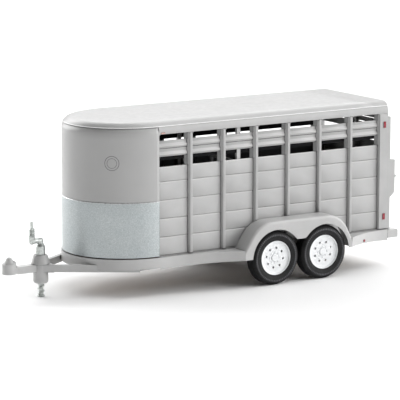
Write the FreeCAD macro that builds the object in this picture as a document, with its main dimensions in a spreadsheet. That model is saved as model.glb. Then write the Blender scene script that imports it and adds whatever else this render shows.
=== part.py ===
import FreeCAD, Part
import math
import os
import re

# Livestock trailer: a tandem-axle, bumper-pull stock trailer with a round nose.
# Millimetres. X forward (towing direction), Y to the left, Z up.
# Origin: on the ground, on the centreline, under the middle of the overall length.

V = FreeCAD.Vector
doc = FreeCAD.newDocument("livestock_trailer")

# ---------------------------------------------------------------- driving dimensions

DIMENSIONS = [
    ("body_width", 1810, "outside width over the side posts"),
    ("side_front", 1085, "where the straight sides meet the round nose, X"),
    ("side_length", 4040, "straight side, nose joint to rear face"),
    ("nose_depth", 973, "how far the half-elliptic nose stands forward"),
    ("roof_top", 2532, "top of the roof frame line"),
    ("roof_radius", 150, "cove between side and roof"),
    ("gauge", 3, "sheet thickness"),
    ("wall_base", 582, "bottom of posts and panels"),
    ("guard_top", 1384, "top of the stone guard"),
    ("panel_top", 1876, "top of the closed side panels"),
    ("plank_height", 269, "height of each side plank but the top one"),
    ("slat_base", 2019, "bottom of the vent slats"),
    ("slat_top", 2257, "top of the vent slats"),
    ("window_top", 2351, "top of the upper opening"),
    ("drip_level", 2458, "lower edge of the roof sheet"),
    ("bay_pitch", 564, "side post spacing"),
    ("post_width", 50, "side post, along X"),
    ("post_depth", 50, "side post, across"),
    ("panel_recess", 45, "panel face behind the post face"),
    ("plank_relief", 12, "depth of the groove between planks"),
    ("corner_width", 151, "rear corner post, along X"),
    ("rail_base", 400, "bottom of main rails and tongue"),
    ("rail_height", 118, "main rail height"),
    ("rail_width", 75, "main rail and tongue beam width"),
    ("rail_wall", 5, "main rail wall"),
    ("rail_outer", 855, "outer face of the main rail, Y"),
    ("tongue_base", 376, "bottom of the tongue"),
    ("tongue_height", 104, "tongue bar height"),
    ("tongue_width", 65, "tongue beam width"),
    ("drawbar_half", 57, "half width of the drawbar ahead of the jack"),
    ("plank_thick", 38, "floor plank thickness"),
    ("plank_width", 190, "floor plank pitch"),
    ("skirt_offset", 22, "nose skirt outside the nose sheet"),
    ("skirt_top", 568, "top of skirt and running boards"),
    ("skirt_rise", 28, "how much the skirt edge rises towards the fender"),
    ("skirt_sheet", 5, "skirt thickness"),
    ("flare_start", 150, "straight skirt before the front flare begins"),
    ("fender_reach", 1190, "outer face of the fender, Y"),
    ("fender_front", -205, "front foot of the fender, X"),
    ("fender_rear", -2110, "rear foot of the fender, X"),
    ("fender_top", 956, "top of the fender"),
    ("fender_sheet", 4, "fender thickness"),
    ("arch_radius", 428, "wheel arch"),
    ("valance_base", 655, "bottom of the valance between the arches"),
    ("front_axle", -763, "front wheel centre, X"),
    ("rear_axle", -1619, "rear wheel centre, X"),
    ("wheel_plane", 1050, "wheel centre plane, Y"),
    ("tyre_radius", 402.5, "rolling radius"),
    ("tyre_half", 115, "half the section width"),
    ("flange_radius", 257, "rim flange"),
    ("hand_hole_circle", 146, "circle of the disc holes"),
    ("hand_hole", 17, "disc hole radius"),
    ("stud_circle", 82.5, "wheel stud circle radius"),
    ("arm_reach", 141, "torsion arm, along X"),
    ("arm_rise", 50, "torsion arm, upwards"),
    ("arm_face", 868, "inner face of the torsion arm, Y"),
    ("arm_plate", 32, "torsion arm thickness"),
    ("spindle", 20, "spindle radius"),
    ("stub", 26, "torsion stub radius"),
    ("running_gap", 0.05, "radial clearance of shafts"),
    ("axle_tube", 75, "axle tube, square"),
    ("coupler_x", 3045, "ball centre, X"),
    ("head_radius", 103, "coupler head"),
    ("socket_radius", 29.6, "socket for a 58.7 mm ball"),
    ("jack_x", 2539, "jack axis, X"),
    ("jack_lead", 80, "jack screw lead"),
    ("gate_base", 574, "bottom of the rear gate"),
    ("gate_top", 2287, "top of the rear gate"),
    ("gate_half", 895, "half width of the rear gate"),
    ("gate_tube", 50, "rear gate frame tube"),
    ("hinge_y", -915, "rear gate hinge axis, Y"),
    ("hinge_set", 30, "rear gate hinge axis behind the rear face"),
    ("bumper_depth", 122, "rear bumper, along X"),
    ("bumper_base", 432, "bottom of the rear bumper"),
    ("bumper_top", 558, "top of the rear bumper"),
    ("divider_x", -300, "centre gate post, X"),
]

sheet = doc.addObject("Spreadsheet::Sheet", "dims")
for row, (alias, value, meaning) in enumerate(DIMENSIONS, 1):
    sheet.set(f"A{row}", meaning)
    sheet.set(f"B{row}", str(value))
    sheet.setAlias(f"B{row}", alias)
doc.recompute()
ALIASES = {alias for alias, value, meaning in DIMENSIONS}


def cell(alias):
    """The value of one driving dimension."""
    return float(sheet.get(alias))


def bound(formula):
    """A formula in driving dimensions, as an expression on the sheet."""
    def to_cell(match):
        return "dims." + match.group(0) if match.group(0) in ALIASES else match.group(0)
    return re.sub(r"[a-z_][a-z_0-9]*", to_cell, str(formula))


half_width = cell("body_width") / 2
side_front = cell("side_front")
rear_face = side_front - cell("side_length")
gauge = cell("gauge")
panel_face = half_width - cell("panel_recess")
rail_base = cell("rail_base")
rail_top = rail_base + cell("rail_height")
REAR = "(side_front - side_length)"

# ---------------------------------------------------------------- modelling helpers

NODES = []


def node(obj, label):
    """Give a finished sub-part its name and put it on the export list."""
    obj.Label = label
    NODES.append(obj)
    return obj


def place(obj, at):
    """Tie an object's position to formulas."""
    for axis, formula in zip("xyz", at):
        obj.setExpression("Placement.Base." + axis, bound(formula))
    return obj


def box(name, size, at):
    """A block with bound sizes and a bound corner position."""
    block = doc.addObject("Part::Box", name)
    for prop, formula in zip(("Length", "Width", "Height"), size):
        block.setExpression(prop, bound(formula))
    return place(block, at)


ALONG = {
    "z": FreeCAD.Rotation(),
    "y": FreeCAD.Rotation(V(1, 0, 0), -90),
    "x": FreeCAD.Rotation(V(0, 1, 0), 90),
}


def rod(name, radius, length, at, along="z"):
    """A round bar that starts at a point and runs in the positive direction."""
    bar = doc.addObject("Part::Cylinder", name)
    bar.Placement = FreeCAD.Placement(V(0, 0, 0), ALONG[along])
    bar.setExpression("Radius", bound(radius))
    bar.setExpression("Height", bound(length))
    return place(bar, at)


def cut(name, base, *tools):
    """The base with each tool taken away in turn."""
    for index, tool in enumerate(tools):
        result = doc.addObject("Part::Cut", f"{name}_{index}")
        result.Base = base
        result.Tool = tool
        base = result
    return base


def fuse(name, *pieces):
    """One welded piece."""
    result = doc.addObject("Part::MultiFuse", name)
    result.Shapes = list(pieces)
    return result


def group(name, pieces):
    """Separate solids that share one node."""
    result = doc.addObject("Part::Compound", name)
    result.Links = list(pieces)
    return result


def mirrored(name, source):
    """The same piece on the other side of the centreline."""
    twin = doc.addObject("Part::Mirroring", name)
    twin.Source = source
    twin.Normal = V(0, 1, 0)
    return twin


def feature(name, shape, label=None):
    """A piece made with shape functions."""
    result = doc.addObject("Part::Feature", name)
    result.Shape = shape
    result.Placement = FreeCAD.Placement()
    if label:
        node(result, label)
    return result


def tube(name, size, wall, at, along):
    """A rectangular tube, open at both ends of one direction."""
    inner_size = []
    inner_at = []
    for axis, length, start in zip("xyz", size, at):
        open_end = axis == along
        inner_size.append(f"{length} + 2" if open_end else f"{length} - 2 * {wall}")
        inner_at.append(f"{start} - 1" if open_end else f"{start} + {wall}")
    return cut(name, box(name + "_outer", size, at), box(name + "_inner", inner_size, inner_at))


def outline(corners, to_space):
    """Closed wire through corners (u, v) or (u, v, radius), laid out by to_space(u, v)."""
    spots = []
    for index, corner in enumerate(corners):
        here = V(corner[0], corner[1], 0)
        if len(corner) == 2:
            spots.append((here, None, here))
            continue
        before = V(*corners[index - 1][:2], 0) - here
        after = V(*corners[(index + 1) % len(corners)][:2], 0) - here
        half_turn = (math.pi - before.getAngle(after)) / 2
        setback = corner[2] * math.tan(half_turn)
        start = here + before.normalize() * setback
        end = here + after.normalize() * setback
        inward = (before + after).normalize()
        middle = here + inward * (corner[2] / math.cos(half_turn) - corner[2])
        spots.append((start, middle, end))
    edges = []
    for index, (start, middle, end) in enumerate(spots):
        if middle is not None:
            arc = [to_space(point.x, point.y) for point in (start, middle, end)]
            edges.append(Part.Arc(*arc).toShape())
        following = spots[(index + 1) % len(spots)][0]
        if (following - end).Length > 1e-6:
            run = (to_space(end.x, end.y), to_space(following.x, following.y))
            edges.append(Part.LineSegment(*run).toShape())
    return Part.Wire(edges)


def prism(corners, to_space, direction):
    """A solid with the given outline, extruded along a vector."""
    return Part.Face(outline(corners, to_space)).extrude(direction)


def slab(x_low, x_high, y_low, y_high, z_low, z_high):
    """A plain cutting block."""
    return Part.makeBox(x_high - x_low, y_high - y_low, z_high - z_low, V(x_low, y_low, z_low))


def sketched(body, name, role, corners, circles=()):
    """A closed sketch on one of the body's own origin planes."""
    sketch = body.newObject("Sketcher::SketchObject", name)
    plane = [item for item in body.Origin.OriginFeatures if item.Role == role][0]
    sketch.AttachmentSupport = (plane, [""])
    sketch.MapMode = "FlatFace"
    for index, (u, v) in enumerate(corners):
        following = corners[(index + 1) % len(corners)]
        sketch.addGeometry(Part.LineSegment(V(u, v, 0), V(*following, 0)), False)
    for u, v, radius in circles:
        sketch.addGeometry(Part.Circle(V(u, v, 0), V(0, 0, 1), radius), False)
    return sketch


def turned(name, role, corners, at):
    """A lathe-turned body: profile corners are (radius, height along the axis)."""
    body = doc.addObject("PartDesign::Body", name)
    sketch = sketched(body, name + "_profile", role, corners)
    turn = body.newObject("PartDesign::Revolution", name + "_turn")
    turn.Profile = sketch
    turn.ReferenceAxis = (sketch, ["V_Axis"])
    turn.Angle = 360
    place(body, at)
    return body


# ---------------------------------------------------------------- body envelope


def plan_face(grow, level):
    """Floor plan of the body: straight sides and half-elliptic nose, offset outwards."""
    half = half_width + grow
    nose = Part.Ellipse(V(side_front, 0, level), cell("nose_depth") + grow, half)
    corners = [V(side_front, half, level), V(rear_face, half, level),
               V(rear_face, -half, level), V(side_front, -half, level)]
    edges = [Part.Arc(nose, -math.pi / 2, math.pi / 2).toShape()]
    for start, end in zip(corners, corners[1:]):
        edges.append(Part.LineSegment(start, end).toShape())
    return Part.Face(Part.Wire(edges))


def envelope(grow):
    """The closed body volume with the coved roof edge, offset outwards."""
    top = cell("roof_top") + grow
    block = plan_face(grow, rail_base).extrude(V(0, 0, top - rail_base))
    rim = [edge for edge in block.Edges
           if abs(edge.BoundBox.ZMin - top) < 0.01 and abs(edge.BoundBox.ZMax - top) < 0.01
           and edge.BoundBox.XMax - rear_face > 1]
    return block.makeFillet(cell("roof_radius") + grow, rim)


def skin(outer, inner):
    """The sheet between two offsets of the envelope."""
    return envelope(outer).cut(envelope(inner))


WIDE = 1300
NOSE_END = 2200
body_sheet = skin(0, -gauge)

# ---------------------------------------------------------------- chassis

main_rail = tube("main_rail", ("side_length + 300", "rail_width", "rail_height"), "rail_wall",
                 (REAR, "rail_outer - rail_width", "rail_base"), "x")
node(group("main_rail_pair", [main_rail, mirrored("main_rail_right", main_rail)]), "main_rails")

CROSS_COUNT = 8
CROSS_HEIGHT = 74
cross_members = []
for index in range(CROSS_COUNT):
    start_x = f"side_front - 50 - {index} * bay_pitch"
    span = "2 * (rail_outer - rail_width)"
    left_end = "rail_width - rail_outer"
    level = f"rail_base + rail_height - {CROSS_HEIGHT}"
    web = box(f"cross_{index}", ("50", span, str(CROSS_HEIGHT)), (start_x, left_end, level))
    hollow = box(f"cross_hollow_{index}", ("50", span + " + 2", f"{CROSS_HEIGHT} - 8"),
                 (start_x + " + 4", left_end + " - 1", level + " + 4"))
    cross_members.append(cut(f"cross_member_{index}", web, hollow))
node(group("cross_member_set", cross_members), "cross_members")

TONGUE_SLOPE = math.tan(math.radians(32.7))
TONGUE_TIP_X = 2935
JACK_BODY = 110
jack_x = cell("jack_x")
tongue_base = cell("tongue_base")
tongue_top = tongue_base + cell("tongue_height")
drawbar_half = cell("drawbar_half")
FORK_X = jack_x + 97
RAIL_NOSE_X = rear_face + cell("side_length") + 300
TONGUE_WALL = 5
HOLLOW_START = 150


def fork_y(x):
    """Outer face of the left tongue beam at a place along the trailer."""
    return drawbar_half + (FORK_X - x) * TONGUE_SLOPE


def tongue_beam(clearance):
    """The left tongue beam as a closed bar, from the drawbar back to the nose of the main rail."""
    across = cell("tongue_width") * math.hypot(1, TONGUE_SLOPE)
    centre_x = FORK_X - (across - drawbar_half) / TONGUE_SLOPE
    rear = RAIL_NOSE_X
    corners = [(FORK_X, fork_y(FORK_X) + clearance), (rear, fork_y(rear) + clearance),
               (rear, fork_y(rear) - across - clearance), (centre_x, -clearance), (FORK_X, -clearance)]
    return prism(corners, lambda u, v: V(u, v, tongue_base - clearance),
                 V(0, 0, cell("tongue_height") + 2 * clearance))


def beam_core():
    """The hollow of the left tongue beam, behind the jack."""
    across = cell("tongue_width") * math.hypot(1, TONGUE_SLOPE)
    wall = TONGUE_WALL * math.hypot(1, TONGUE_SLOPE)
    front = jack_x - HOLLOW_START
    rear = RAIL_NOSE_X - 1
    corners = [(front, fork_y(front) - wall), (rear, fork_y(rear) - wall),
               (rear, fork_y(rear) - across + wall), (front, fork_y(front) - across + wall)]
    return prism(corners, lambda u, v: V(u, v, tongue_base + TONGUE_WALL),
                 V(0, 0, cell("tongue_height") - 2 * TONGUE_WALL))


jack_column = Part.makeCylinder(JACK_BODY, 400, V(jack_x, 0, tongue_base - 100))
beam = feature("tongue_beam_left", tongue_beam(0).cut(beam_core()).cut(jack_column))
drawbar = slab(FORK_X, TONGUE_TIP_X, -drawbar_half, drawbar_half, tongue_base, tongue_top)
drawbar = drawbar.cut(slab(jack_x + HOLLOW_START, TONGUE_TIP_X + 1, TONGUE_WALL - drawbar_half,
                           drawbar_half - TONGUE_WALL, tongue_base + TONGUE_WALL,
                           tongue_top - TONGUE_WALL))
bar = feature("drawbar", drawbar.cut(jack_column))
node(group("tongue_set", [bar, beam, mirrored("tongue_beam_right", beam)]), "tongue_beams")

# Plates over and under the fork, which hold the jack.
PLATE = 7
PLATE_INSET = 5
PLATE_REAR = jack_x - 118
plate_corners = []
for side in (1, -1):
    edge = [(jack_x + 125, drawbar_half - PLATE_INSET), (FORK_X, drawbar_half - PLATE_INSET),
            (PLATE_REAR, fork_y(PLATE_REAR) - PLATE_INSET)][::side]
    plate_corners += [(x, y * side) for x, y in edge]
plates = []
for level in (tongue_top, tongue_base - PLATE):
    sheet_plate = prism(plate_corners, lambda u, v: V(u, v, level), V(0, 0, PLATE))
    bore = Part.makeCylinder(JACK_BODY, PLATE, V(jack_x, 0, level))
    plates.append(sheet_plate.cut(bore))
feature("tongue_plates", Part.makeCompound(plates), "tongue_plates")

# Floor: long planks with their front ends following the nose.
floor_shape = plan_face(-18, rail_top).extrude(V(0, 0, cell("plank_thick")))
planks = []
PLANK_GAP = 2
plank_count = 9
for index in range(plank_count):
    low = (index - plank_count / 2) * cell("plank_width")
    strip = slab(rear_face + 6, NOSE_END, low + PLANK_GAP / 2,
                 low + cell("plank_width") - PLANK_GAP / 2, rail_top, rail_top + cell("plank_thick"))
    planks.append(floor_shape.common(strip))
feature("floor_plank_set", Part.makeCompound(planks), "floor_planks")

bottom_rail = tube("bottom_rail", ("side_length", "25", "64"), "4",
                   (REAR, "rail_outer + 1", "rail_base + rail_height"), "x")
node(group("bottom_rail_pair", [bottom_rail, mirrored("bottom_rail_right", bottom_rail)]),
     "bottom_rails")

# ---------------------------------------------------------------- skirt and running boards

SKIRT_BEVEL = 20
skirt_top = cell("skirt_top")
skirt_sheet = cell("skirt_sheet")


def skirt_block(grow):
    """The nose skirt's outer volume, bevelled along its lower edge."""
    block = plan_face(grow, rail_base).extrude(V(0, 0, skirt_top - rail_base))
    lower = [edge for edge in block.Edges
             if edge.BoundBox.ZMax - rail_base < 0.01 and edge.BoundBox.XMax - rear_face > 1]
    return block.makeChamfer(SKIRT_BEVEL, lower)


nose_zone = slab(side_front, NOSE_END, -WIDE, WIDE, 0, 3000)
skirt_outer = skirt_block(cell("skirt_offset"))
skirt_inner = skirt_block(cell("skirt_offset") - skirt_sheet)
skirt_inner.translate(V(0, 0, -skirt_sheet))
flange_hole = plan_face(-8, rail_base).extrude(V(0, 0, skirt_top - rail_base))
nose_skirt = skirt_outer.cut(skirt_inner).cut(flange_hole).common(nose_zone)
left_notch = tongue_beam(1.5)
nose_skirt = nose_skirt.cut(left_notch).cut(left_notch.mirror(V(0, 0, 0), V(0, 1, 0)))
feature("nose_skirt_band", nose_skirt, "nose_skirt")


def flare_arc(bend_x, near_x):
    """Radius and centre of the arc from the straight skirt out to the fender face."""
    flush = half_width + cell("skirt_offset")
    run = abs(near_x - bend_x)
    swell = cell("fender_reach") - flush
    radius = (run ** 2 + swell ** 2) / (2 * swell)
    return radius, flush + radius


def flare_point(bend_x, near_x, spot_x):
    """A point on the left flare, as (x, y), and the outward normal there."""
    radius, centre_y = flare_arc(bend_x, near_x)
    spot = V(spot_x, centre_y - math.sqrt(radius ** 2 - (spot_x - bend_x) ** 2), 0)
    normal = (V(bend_x, centre_y, 0) - spot).normalize()
    return (spot.x, spot.y), normal


def running_board(far_x, near_x, straight):
    """Left running board: flush with the skirt at far_x, flared to the fender at near_x."""
    step_inner = half_width - 24
    flush = half_width + cell("skirt_offset")
    reach = cell("fender_reach")
    direction = 1 if near_x > far_x else -1
    bend_x = far_x + direction * straight
    radius, centre_y = flare_arc(bend_x, near_x)
    middle_x = (bend_x + near_x) / 2
    middle = (middle_x, centre_y - math.sqrt(radius ** 2 - (middle_x - bend_x) ** 2))

    def board(inset, base, top):
        points = [V(near_x, step_inner + inset, base), V(far_x, step_inner + inset, base),
                  V(far_x, flush - inset, base), V(bend_x, flush - inset, base)]
        arc = Part.Arc(points[-1], V(middle[0], middle[1] - inset, base),
                       V(near_x, reach - inset, base))
        edges = [Part.LineSegment(a, b).toShape() for a, b in zip(points, points[1:])]
        edges += [arc.toShape(), Part.LineSegment(V(near_x, reach - inset, base), points[0]).toShape()]
        return Part.Face(Part.Wire(edges)).extrude(V(0, 0, top - base))

    block = board(0, rail_base, skirt_top)
    rise = prism([(far_x, rail_base - 50), (near_x, rail_base - 50),
                  (near_x, rail_base + cell("skirt_rise")), (far_x, rail_base)],
                 lambda u, v: V(u, 0, v), V(0, WIDE, 0))
    hollow = board(skirt_sheet, rail_base - 1, skirt_top - skirt_sheet)
    hollow = hollow.fuse(slab(min(far_x, near_x) - 1, max(far_x, near_x) + 1, step_inner - 1,
                              half_width, rail_base - 1, skirt_top - skirt_sheet))
    return block.cut(hollow).cut(rise)


front_board = feature("front_board_left", running_board(side_front, cell("fender_front"),
                                                        cell("flare_start")))
node(group("front_boards", [front_board, mirrored("front_board_right", front_board)]),
     "front_running_boards")
REAR_STRAIGHT = 20
rear_board = feature("rear_board_left", running_board(rear_face, cell("fender_rear"), REAR_STRAIGHT))
node(group("rear_boards", [rear_board, mirrored("rear_board_right", rear_board)]),
     "rear_running_boards")

# ---------------------------------------------------------------- fenders

FENDER_SHOULDER = 42
FENDER_CORNER = 420


def fender_profile(inset, foot):
    """Side outline of the fender, offset inwards by its sheet."""
    front = cell("fender_front") - inset
    rear = cell("fender_rear") + inset
    top = cell("fender_top") - inset
    lean_front = front - 250
    lean_rear = rear + 205
    knee = skirt_top + 5
    corner = FENDER_CORNER - inset
    return [(front, foot), (front, knee), (lean_front, top, corner),
            (lean_rear, top, corner), (rear, knee), (rear, foot)]


def fender():
    """Left fender: a rounded shell over both wheels with two arches."""
    sheet_t = cell("fender_sheet")
    foot = rail_base + cell("skirt_rise")
    wall = half_width + 1
    reach = cell("fender_reach")
    outer = prism(fender_profile(0, foot), lambda u, v: V(u, wall, v), V(0, reach - wall, 0))
    shoulder = [edge for edge in outer.Edges
                if edge.BoundBox.YMin > reach - 0.01 and edge.BoundBox.ZMax > skirt_top + 10]
    outer = outer.makeFillet(FENDER_SHOULDER, shoulder)
    inner = prism(fender_profile(sheet_t, foot - 10), lambda u, v: V(u, wall - 10, v),
                  V(0, reach - sheet_t - wall + 10, 0))
    shoulder = [edge for edge in inner.Edges
                if edge.BoundBox.YMin > reach - sheet_t - 0.01
                and edge.BoundBox.ZMax > skirt_top + 10]
    inner = inner.makeFillet(FENDER_SHOULDER - sheet_t, shoulder)
    shell = outer.cut(inner)
    axles = (cell("front_axle"), cell("rear_axle"))
    height = cell("tyre_radius")
    drop = cell("valance_base")
    arches = Part.makeCylinder(cell("arch_radius"), 200, V(axles[0], reach - 60, height), V(0, 1, 0))
    arches = arches.fuse(Part.makeCylinder(cell("arch_radius"), 200, V(axles[1], reach - 60, height),
                                           V(0, 1, 0)))
    middle = (axles[0] + axles[1]) / 2
    half_tip = abs(axles[0] - axles[1]) / 2 - math.sqrt(cell("arch_radius") ** 2 - (drop - height) ** 2)
    low = slab(axles[1], axles[0], reach - 60, reach + 140, 0, drop)
    arches = arches.fuse(low).removeSplitter()
    tips = [edge for edge in arches.Edges
            if abs(edge.BoundBox.ZMin - drop) < 1 and abs(edge.BoundBox.ZMax - drop) < 1
            and edge.BoundBox.YLength > 150 and abs(abs(edge.BoundBox.XMin - middle) - half_tip) < 3]
    arches = arches.makeFillet(70, tips)
    return shell.cut(arches)


left_fender = feature("fender_left", fender())
node(group("fender_pair", [left_fender, mirrored("fender_right", left_fender)]), "fenders")

# ---------------------------------------------------------------- side walls

BAYS = 7
wall_base = cell("wall_base")
post_starts = [f"side_front - {index + 1} * bay_pitch" for index in range(BAYS - 1)]

posts = []
for index, start_x in enumerate(post_starts):
    post = tube(f"side_post_{index}", ("post_width", "post_depth", "window_top - wall_base"), "gauge",
                (start_x, "body_width / 2 - post_depth", "wall_base"), "z")
    posts += [post, mirrored(f"side_post_right_{index}", post)]
node(group("side_post_set", posts), "side_posts")

LATCH_Z = 1373
LATCH_Y = 872
corner_post = tube("corner_post", ("corner_width", "post_depth", "window_top - wall_base"), "gauge",
                   (REAR, "body_width / 2 - post_depth", "wall_base"), "z")
striker_hole = rod("striker_hole", "11", "20", (REAR + " - 5", str(LATCH_Y), str(LATCH_Z)), "x")
front_post = tube("front_post", ("post_width", "42", "window_top - wall_base"), "gauge",
                  ("side_front", "body_width / 2 - 48", "wall_base"), "z")
node(group("end_post_set", [cut("corner_post_left", corner_post, striker_hole),
                            mirrored("corner_post_right", corner_post), front_post,
                            mirrored("front_post_right", front_post)]), "end_posts")

PLANKS = 5
plank_height = cell("plank_height")
relief = cell("plank_relief")
BEVEL = 15
UNDERCUT = 5


def zigzag_panel(x_low, x_high, face_y):
    """Formed sheet of one bay: raised planks with a bevel on top and a groove between."""
    front = []
    for index in range(PLANKS):
        low = wall_base + index * plank_height
        high = min(low + plank_height, cell("panel_top"))
        front += [(face_y - relief, low), (face_y, low + UNDERCUT),
                  (face_y, high - BEVEL), (face_y - relief, high - 1)]
    back = [(y - gauge, z) for y, z in reversed(front)]
    return prism(front + back, lambda u, v: V(x_low, u, v), V(x_high - x_low, 0, 0))


def bay_span(index):
    """X range of one bay's clear opening."""
    high = side_front - index * cell("bay_pitch")
    low = high - cell("bay_pitch") + cell("post_width")
    if index == BAYS - 1:
        low = rear_face + cell("corner_width")
    return low, high


SLAT_GAP = 5


def slat(x_low, x_high, face_y, base, height):
    """One vent slat: flat upper face, recess, and a bulging lower lip."""
    lip = face_y + 14
    deep = face_y - 6
    front = [(deep, base), (lip - 4, base + 6), (lip, base + 18), (lip - 2, base + 30),
             (deep, base + 46), (face_y, base + 54), (face_y, base + height - 8),
             (face_y - 4, base + height)]
    back = [(y - gauge, z) for y, z in reversed(front)]
    return prism(front + back, lambda u, v: V(x_low, u, v), V(x_high - x_low, 0, 0))


panels = []
slats = []
slat_height = (cell("slat_top") - cell("slat_base")) / 2
for index in range(BAYS):
    x_low, x_high = bay_span(index)
    panels.append(zigzag_panel(x_low, x_high, panel_face))
    for layer in range(2):
        base = cell("slat_base") + layer * slat_height
        slats.append(slat(x_low, x_high, panel_face, base, slat_height - SLAT_GAP))
left_panels = feature("side_panel_set", Part.makeCompound(panels), "side_panels_left")
node(mirrored("side_panel_set_right", left_panels), "side_panels_right")
left_slats = feature("vent_slat_set", Part.makeCompound(slats), "vent_slats_left")
node(mirrored("vent_slat_set_right", left_slats), "vent_slats_right")

# Top rails: the coved sheet over the openings, with a flange on the posts, and the rear header.
window_top = cell("window_top")
drip_level = cell("drip_level")
rails = []
for side in (1, -1):
    y_low, y_high = (0, WIDE) if side > 0 else (-WIDE, 0)
    cove = body_sheet.common(slab(rear_face, side_front, y_low, y_high, window_top, drip_level))
    flange_low = half_width - cell("post_depth") if side > 0 else -half_width + gauge / 2
    flange = slab(rear_face, side_front, flange_low, flange_low + cell("post_depth") - gauge / 2,
                  window_top, window_top + gauge)
    rails.append(cove.fuse(flange).removeSplitter())
HEADER_BASE = 2294
header = envelope(-gauge - 1).common(slab(rear_face, rear_face + 6, -half_width + 52,
                                          half_width - 52, HEADER_BASE, 3000))
feature("top_rail_set", Part.makeCompound(rails + [header]), "top_rails")

# ---------------------------------------------------------------- nose, roof

guard_top = cell("guard_top")
feature("nose_sheet", body_sheet.common(slab(side_front, NOSE_END, -WIDE, WIDE, wall_base, drip_level)),
        "nose_skin")
GUARD_PROUD = 4
feature("stone_guard_sheet", skin(GUARD_PROUD, 0).common(slab(side_front, NOSE_END, -WIDE, WIDE,
                                                              wall_base, guard_top)), "stone_guard")

# Roof sheet with a rolled bead along its lower edge.
BEAD = 7
BEAD_HEIGHT = 13
roof = skin(gauge, 0).common(slab(rear_face, NOSE_END, -WIDE, WIDE, drip_level, 3000))
bead = skin(gauge + BEAD, gauge).common(slab(rear_face, NOSE_END, -WIDE, WIDE, drip_level,
                                             drip_level + BEAD_HEIGHT))
feature("roof_sheet", roof.fuse(bead).removeSplitter(), "roof_shell")

bows = []
BOW_WIDTH = 30
BOW_DEPTH = 22
bow_ring = skin(-gauge - 2, -gauge - 2 - BOW_DEPTH)
for index in range(BAYS - 1):
    centre = side_front - (index + 1) * cell("bay_pitch") + cell("post_width") / 2
    bows.append(bow_ring.common(slab(centre - BOW_WIDTH / 2, centre + BOW_WIDTH / 2, -WIDE, WIDE,
                                     window_top + gauge + 1, 3000)))
feature("roof_bow_set", Part.makeCompound(bows), "roof_bows")

# ---------------------------------------------------------------- rear bumper, lamps

bumper_front = "side_front - side_length - 71"
BUMPER_SPAN = "body_width + 2 * skirt_offset"
beam_box = box("bumper_beam", ("bumper_depth", BUMPER_SPAN, "bumper_top - bumper_base"),
               (bumper_front + " - bumper_depth", "-body_width / 2 - skirt_offset", "bumper_base"))
beam_core = box("bumper_core", ("bumper_depth - 10", BUMPER_SPAN + " - 10",
                                "bumper_top - bumper_base - 10"),
                (bumper_front + " - bumper_depth + 5", "-body_width / 2 - skirt_offset + 5",
                 "bumper_base + 5"))


def rounded_block(name, block, at_low_x, radius):
    """The block with the two long edges of one upright face rounded."""
    result = doc.addObject("Part::Fillet", name)
    result.Base = block
    doc.recompute()
    bounds = block.Shape.BoundBox
    face_x = bounds.XMin if at_low_x else bounds.XMax
    long_edges = [number + 1 for number, edge in enumerate(block.Shape.Edges)
                  if abs(edge.BoundBox.XMin - face_x) < 0.01 and abs(edge.BoundBox.XMax - face_x) < 0.01
                  and edge.BoundBox.YLength > 100]
    result.Edges = [(number, radius, radius) for number in long_edges]
    return result


BUMPER_ROUND = 24
beam_round = rounded_block("bumper_rounded", beam_box, True, BUMPER_ROUND)
core_round = rounded_block("bumper_core_rounded", beam_core, True, BUMPER_ROUND - 5)
TAIL_RADIUS = 48
TAIL_DEPTH = 14
tail = rod("tail_lamp", str(TAIL_RADIUS), str(TAIL_DEPTH),
           (bumper_front + " - bumper_depth", "740", "495"), "x")
drain = rod("bumper_drain", "9", "8",
            (bumper_front + " - bumper_depth / 2", "body_width / 2 - 60", "bumper_base - 1"))
tail_seat = rod("tail_seat", f"{TAIL_RADIUS} + running_gap", str(TAIL_DEPTH),
                (bumper_front + " - bumper_depth", "740", "495"), "x")
beam_tube = cut("bumper_tube", beam_round, core_round, drain, mirrored("bumper_drain_right", drain),
                tail_seat, mirrored("tail_seat_right", tail_seat))
stand_left = box("bumper_stand", ("71", "rail_width", "90"),
                 (bumper_front, "rail_outer - rail_width", "bumper_base"))
cheek_left = box("bumper_cheek", ("66", "30", "bumper_top - bumper_base"),
                 (bumper_front, "body_width / 2 + skirt_offset - 30", "bumper_base"))
node(fuse("bumper_weld", beam_tube, stand_left, mirrored("bumper_stand_right", stand_left),
          cheek_left, mirrored("bumper_cheek_right", cheek_left)), "rear_bumper")

LAMP_PROUD = 9
lamps = []
for level in (725, 2135):
    lens = box(f"corner_lamp_{level}", ("42", str(LAMP_PROUD), "92"),
               (REAR + " + 45", "body_width / 2", str(level)))
    lamps += [lens, mirrored(f"corner_lamp_right_{level}", lens)]
LAMP_X = rear_face + 500
LAMP_Z = 458
lamp_spot, lamp_normal = flare_point(rear_face + REAR_STRAIGHT, cell("fender_rear"), LAMP_X)
skirt_lamp = feature("skirt_lamp", Part.makeCylinder(20, 10, V(*lamp_spot, LAMP_Z) + lamp_normal * 0.3,
                                                     lamp_normal))
lamps += [skirt_lamp, mirrored("skirt_lamp_right", skirt_lamp)]
node(group("red_marker_set", lamps), "red_marker_lamps")
amber = box("amber_lamp", ("60", "8", "20"), ("side_front - 95", "body_width / 2", "window_top + 8"))
node(group("amber_marker_set", [amber, mirrored("amber_right", amber)]), "amber_marker_lamps")
node(group("tail_lamp_set", [tail, mirrored("tail_right", tail)]), "tail_lamps")

# ---------------------------------------------------------------- axles and wheels

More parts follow.
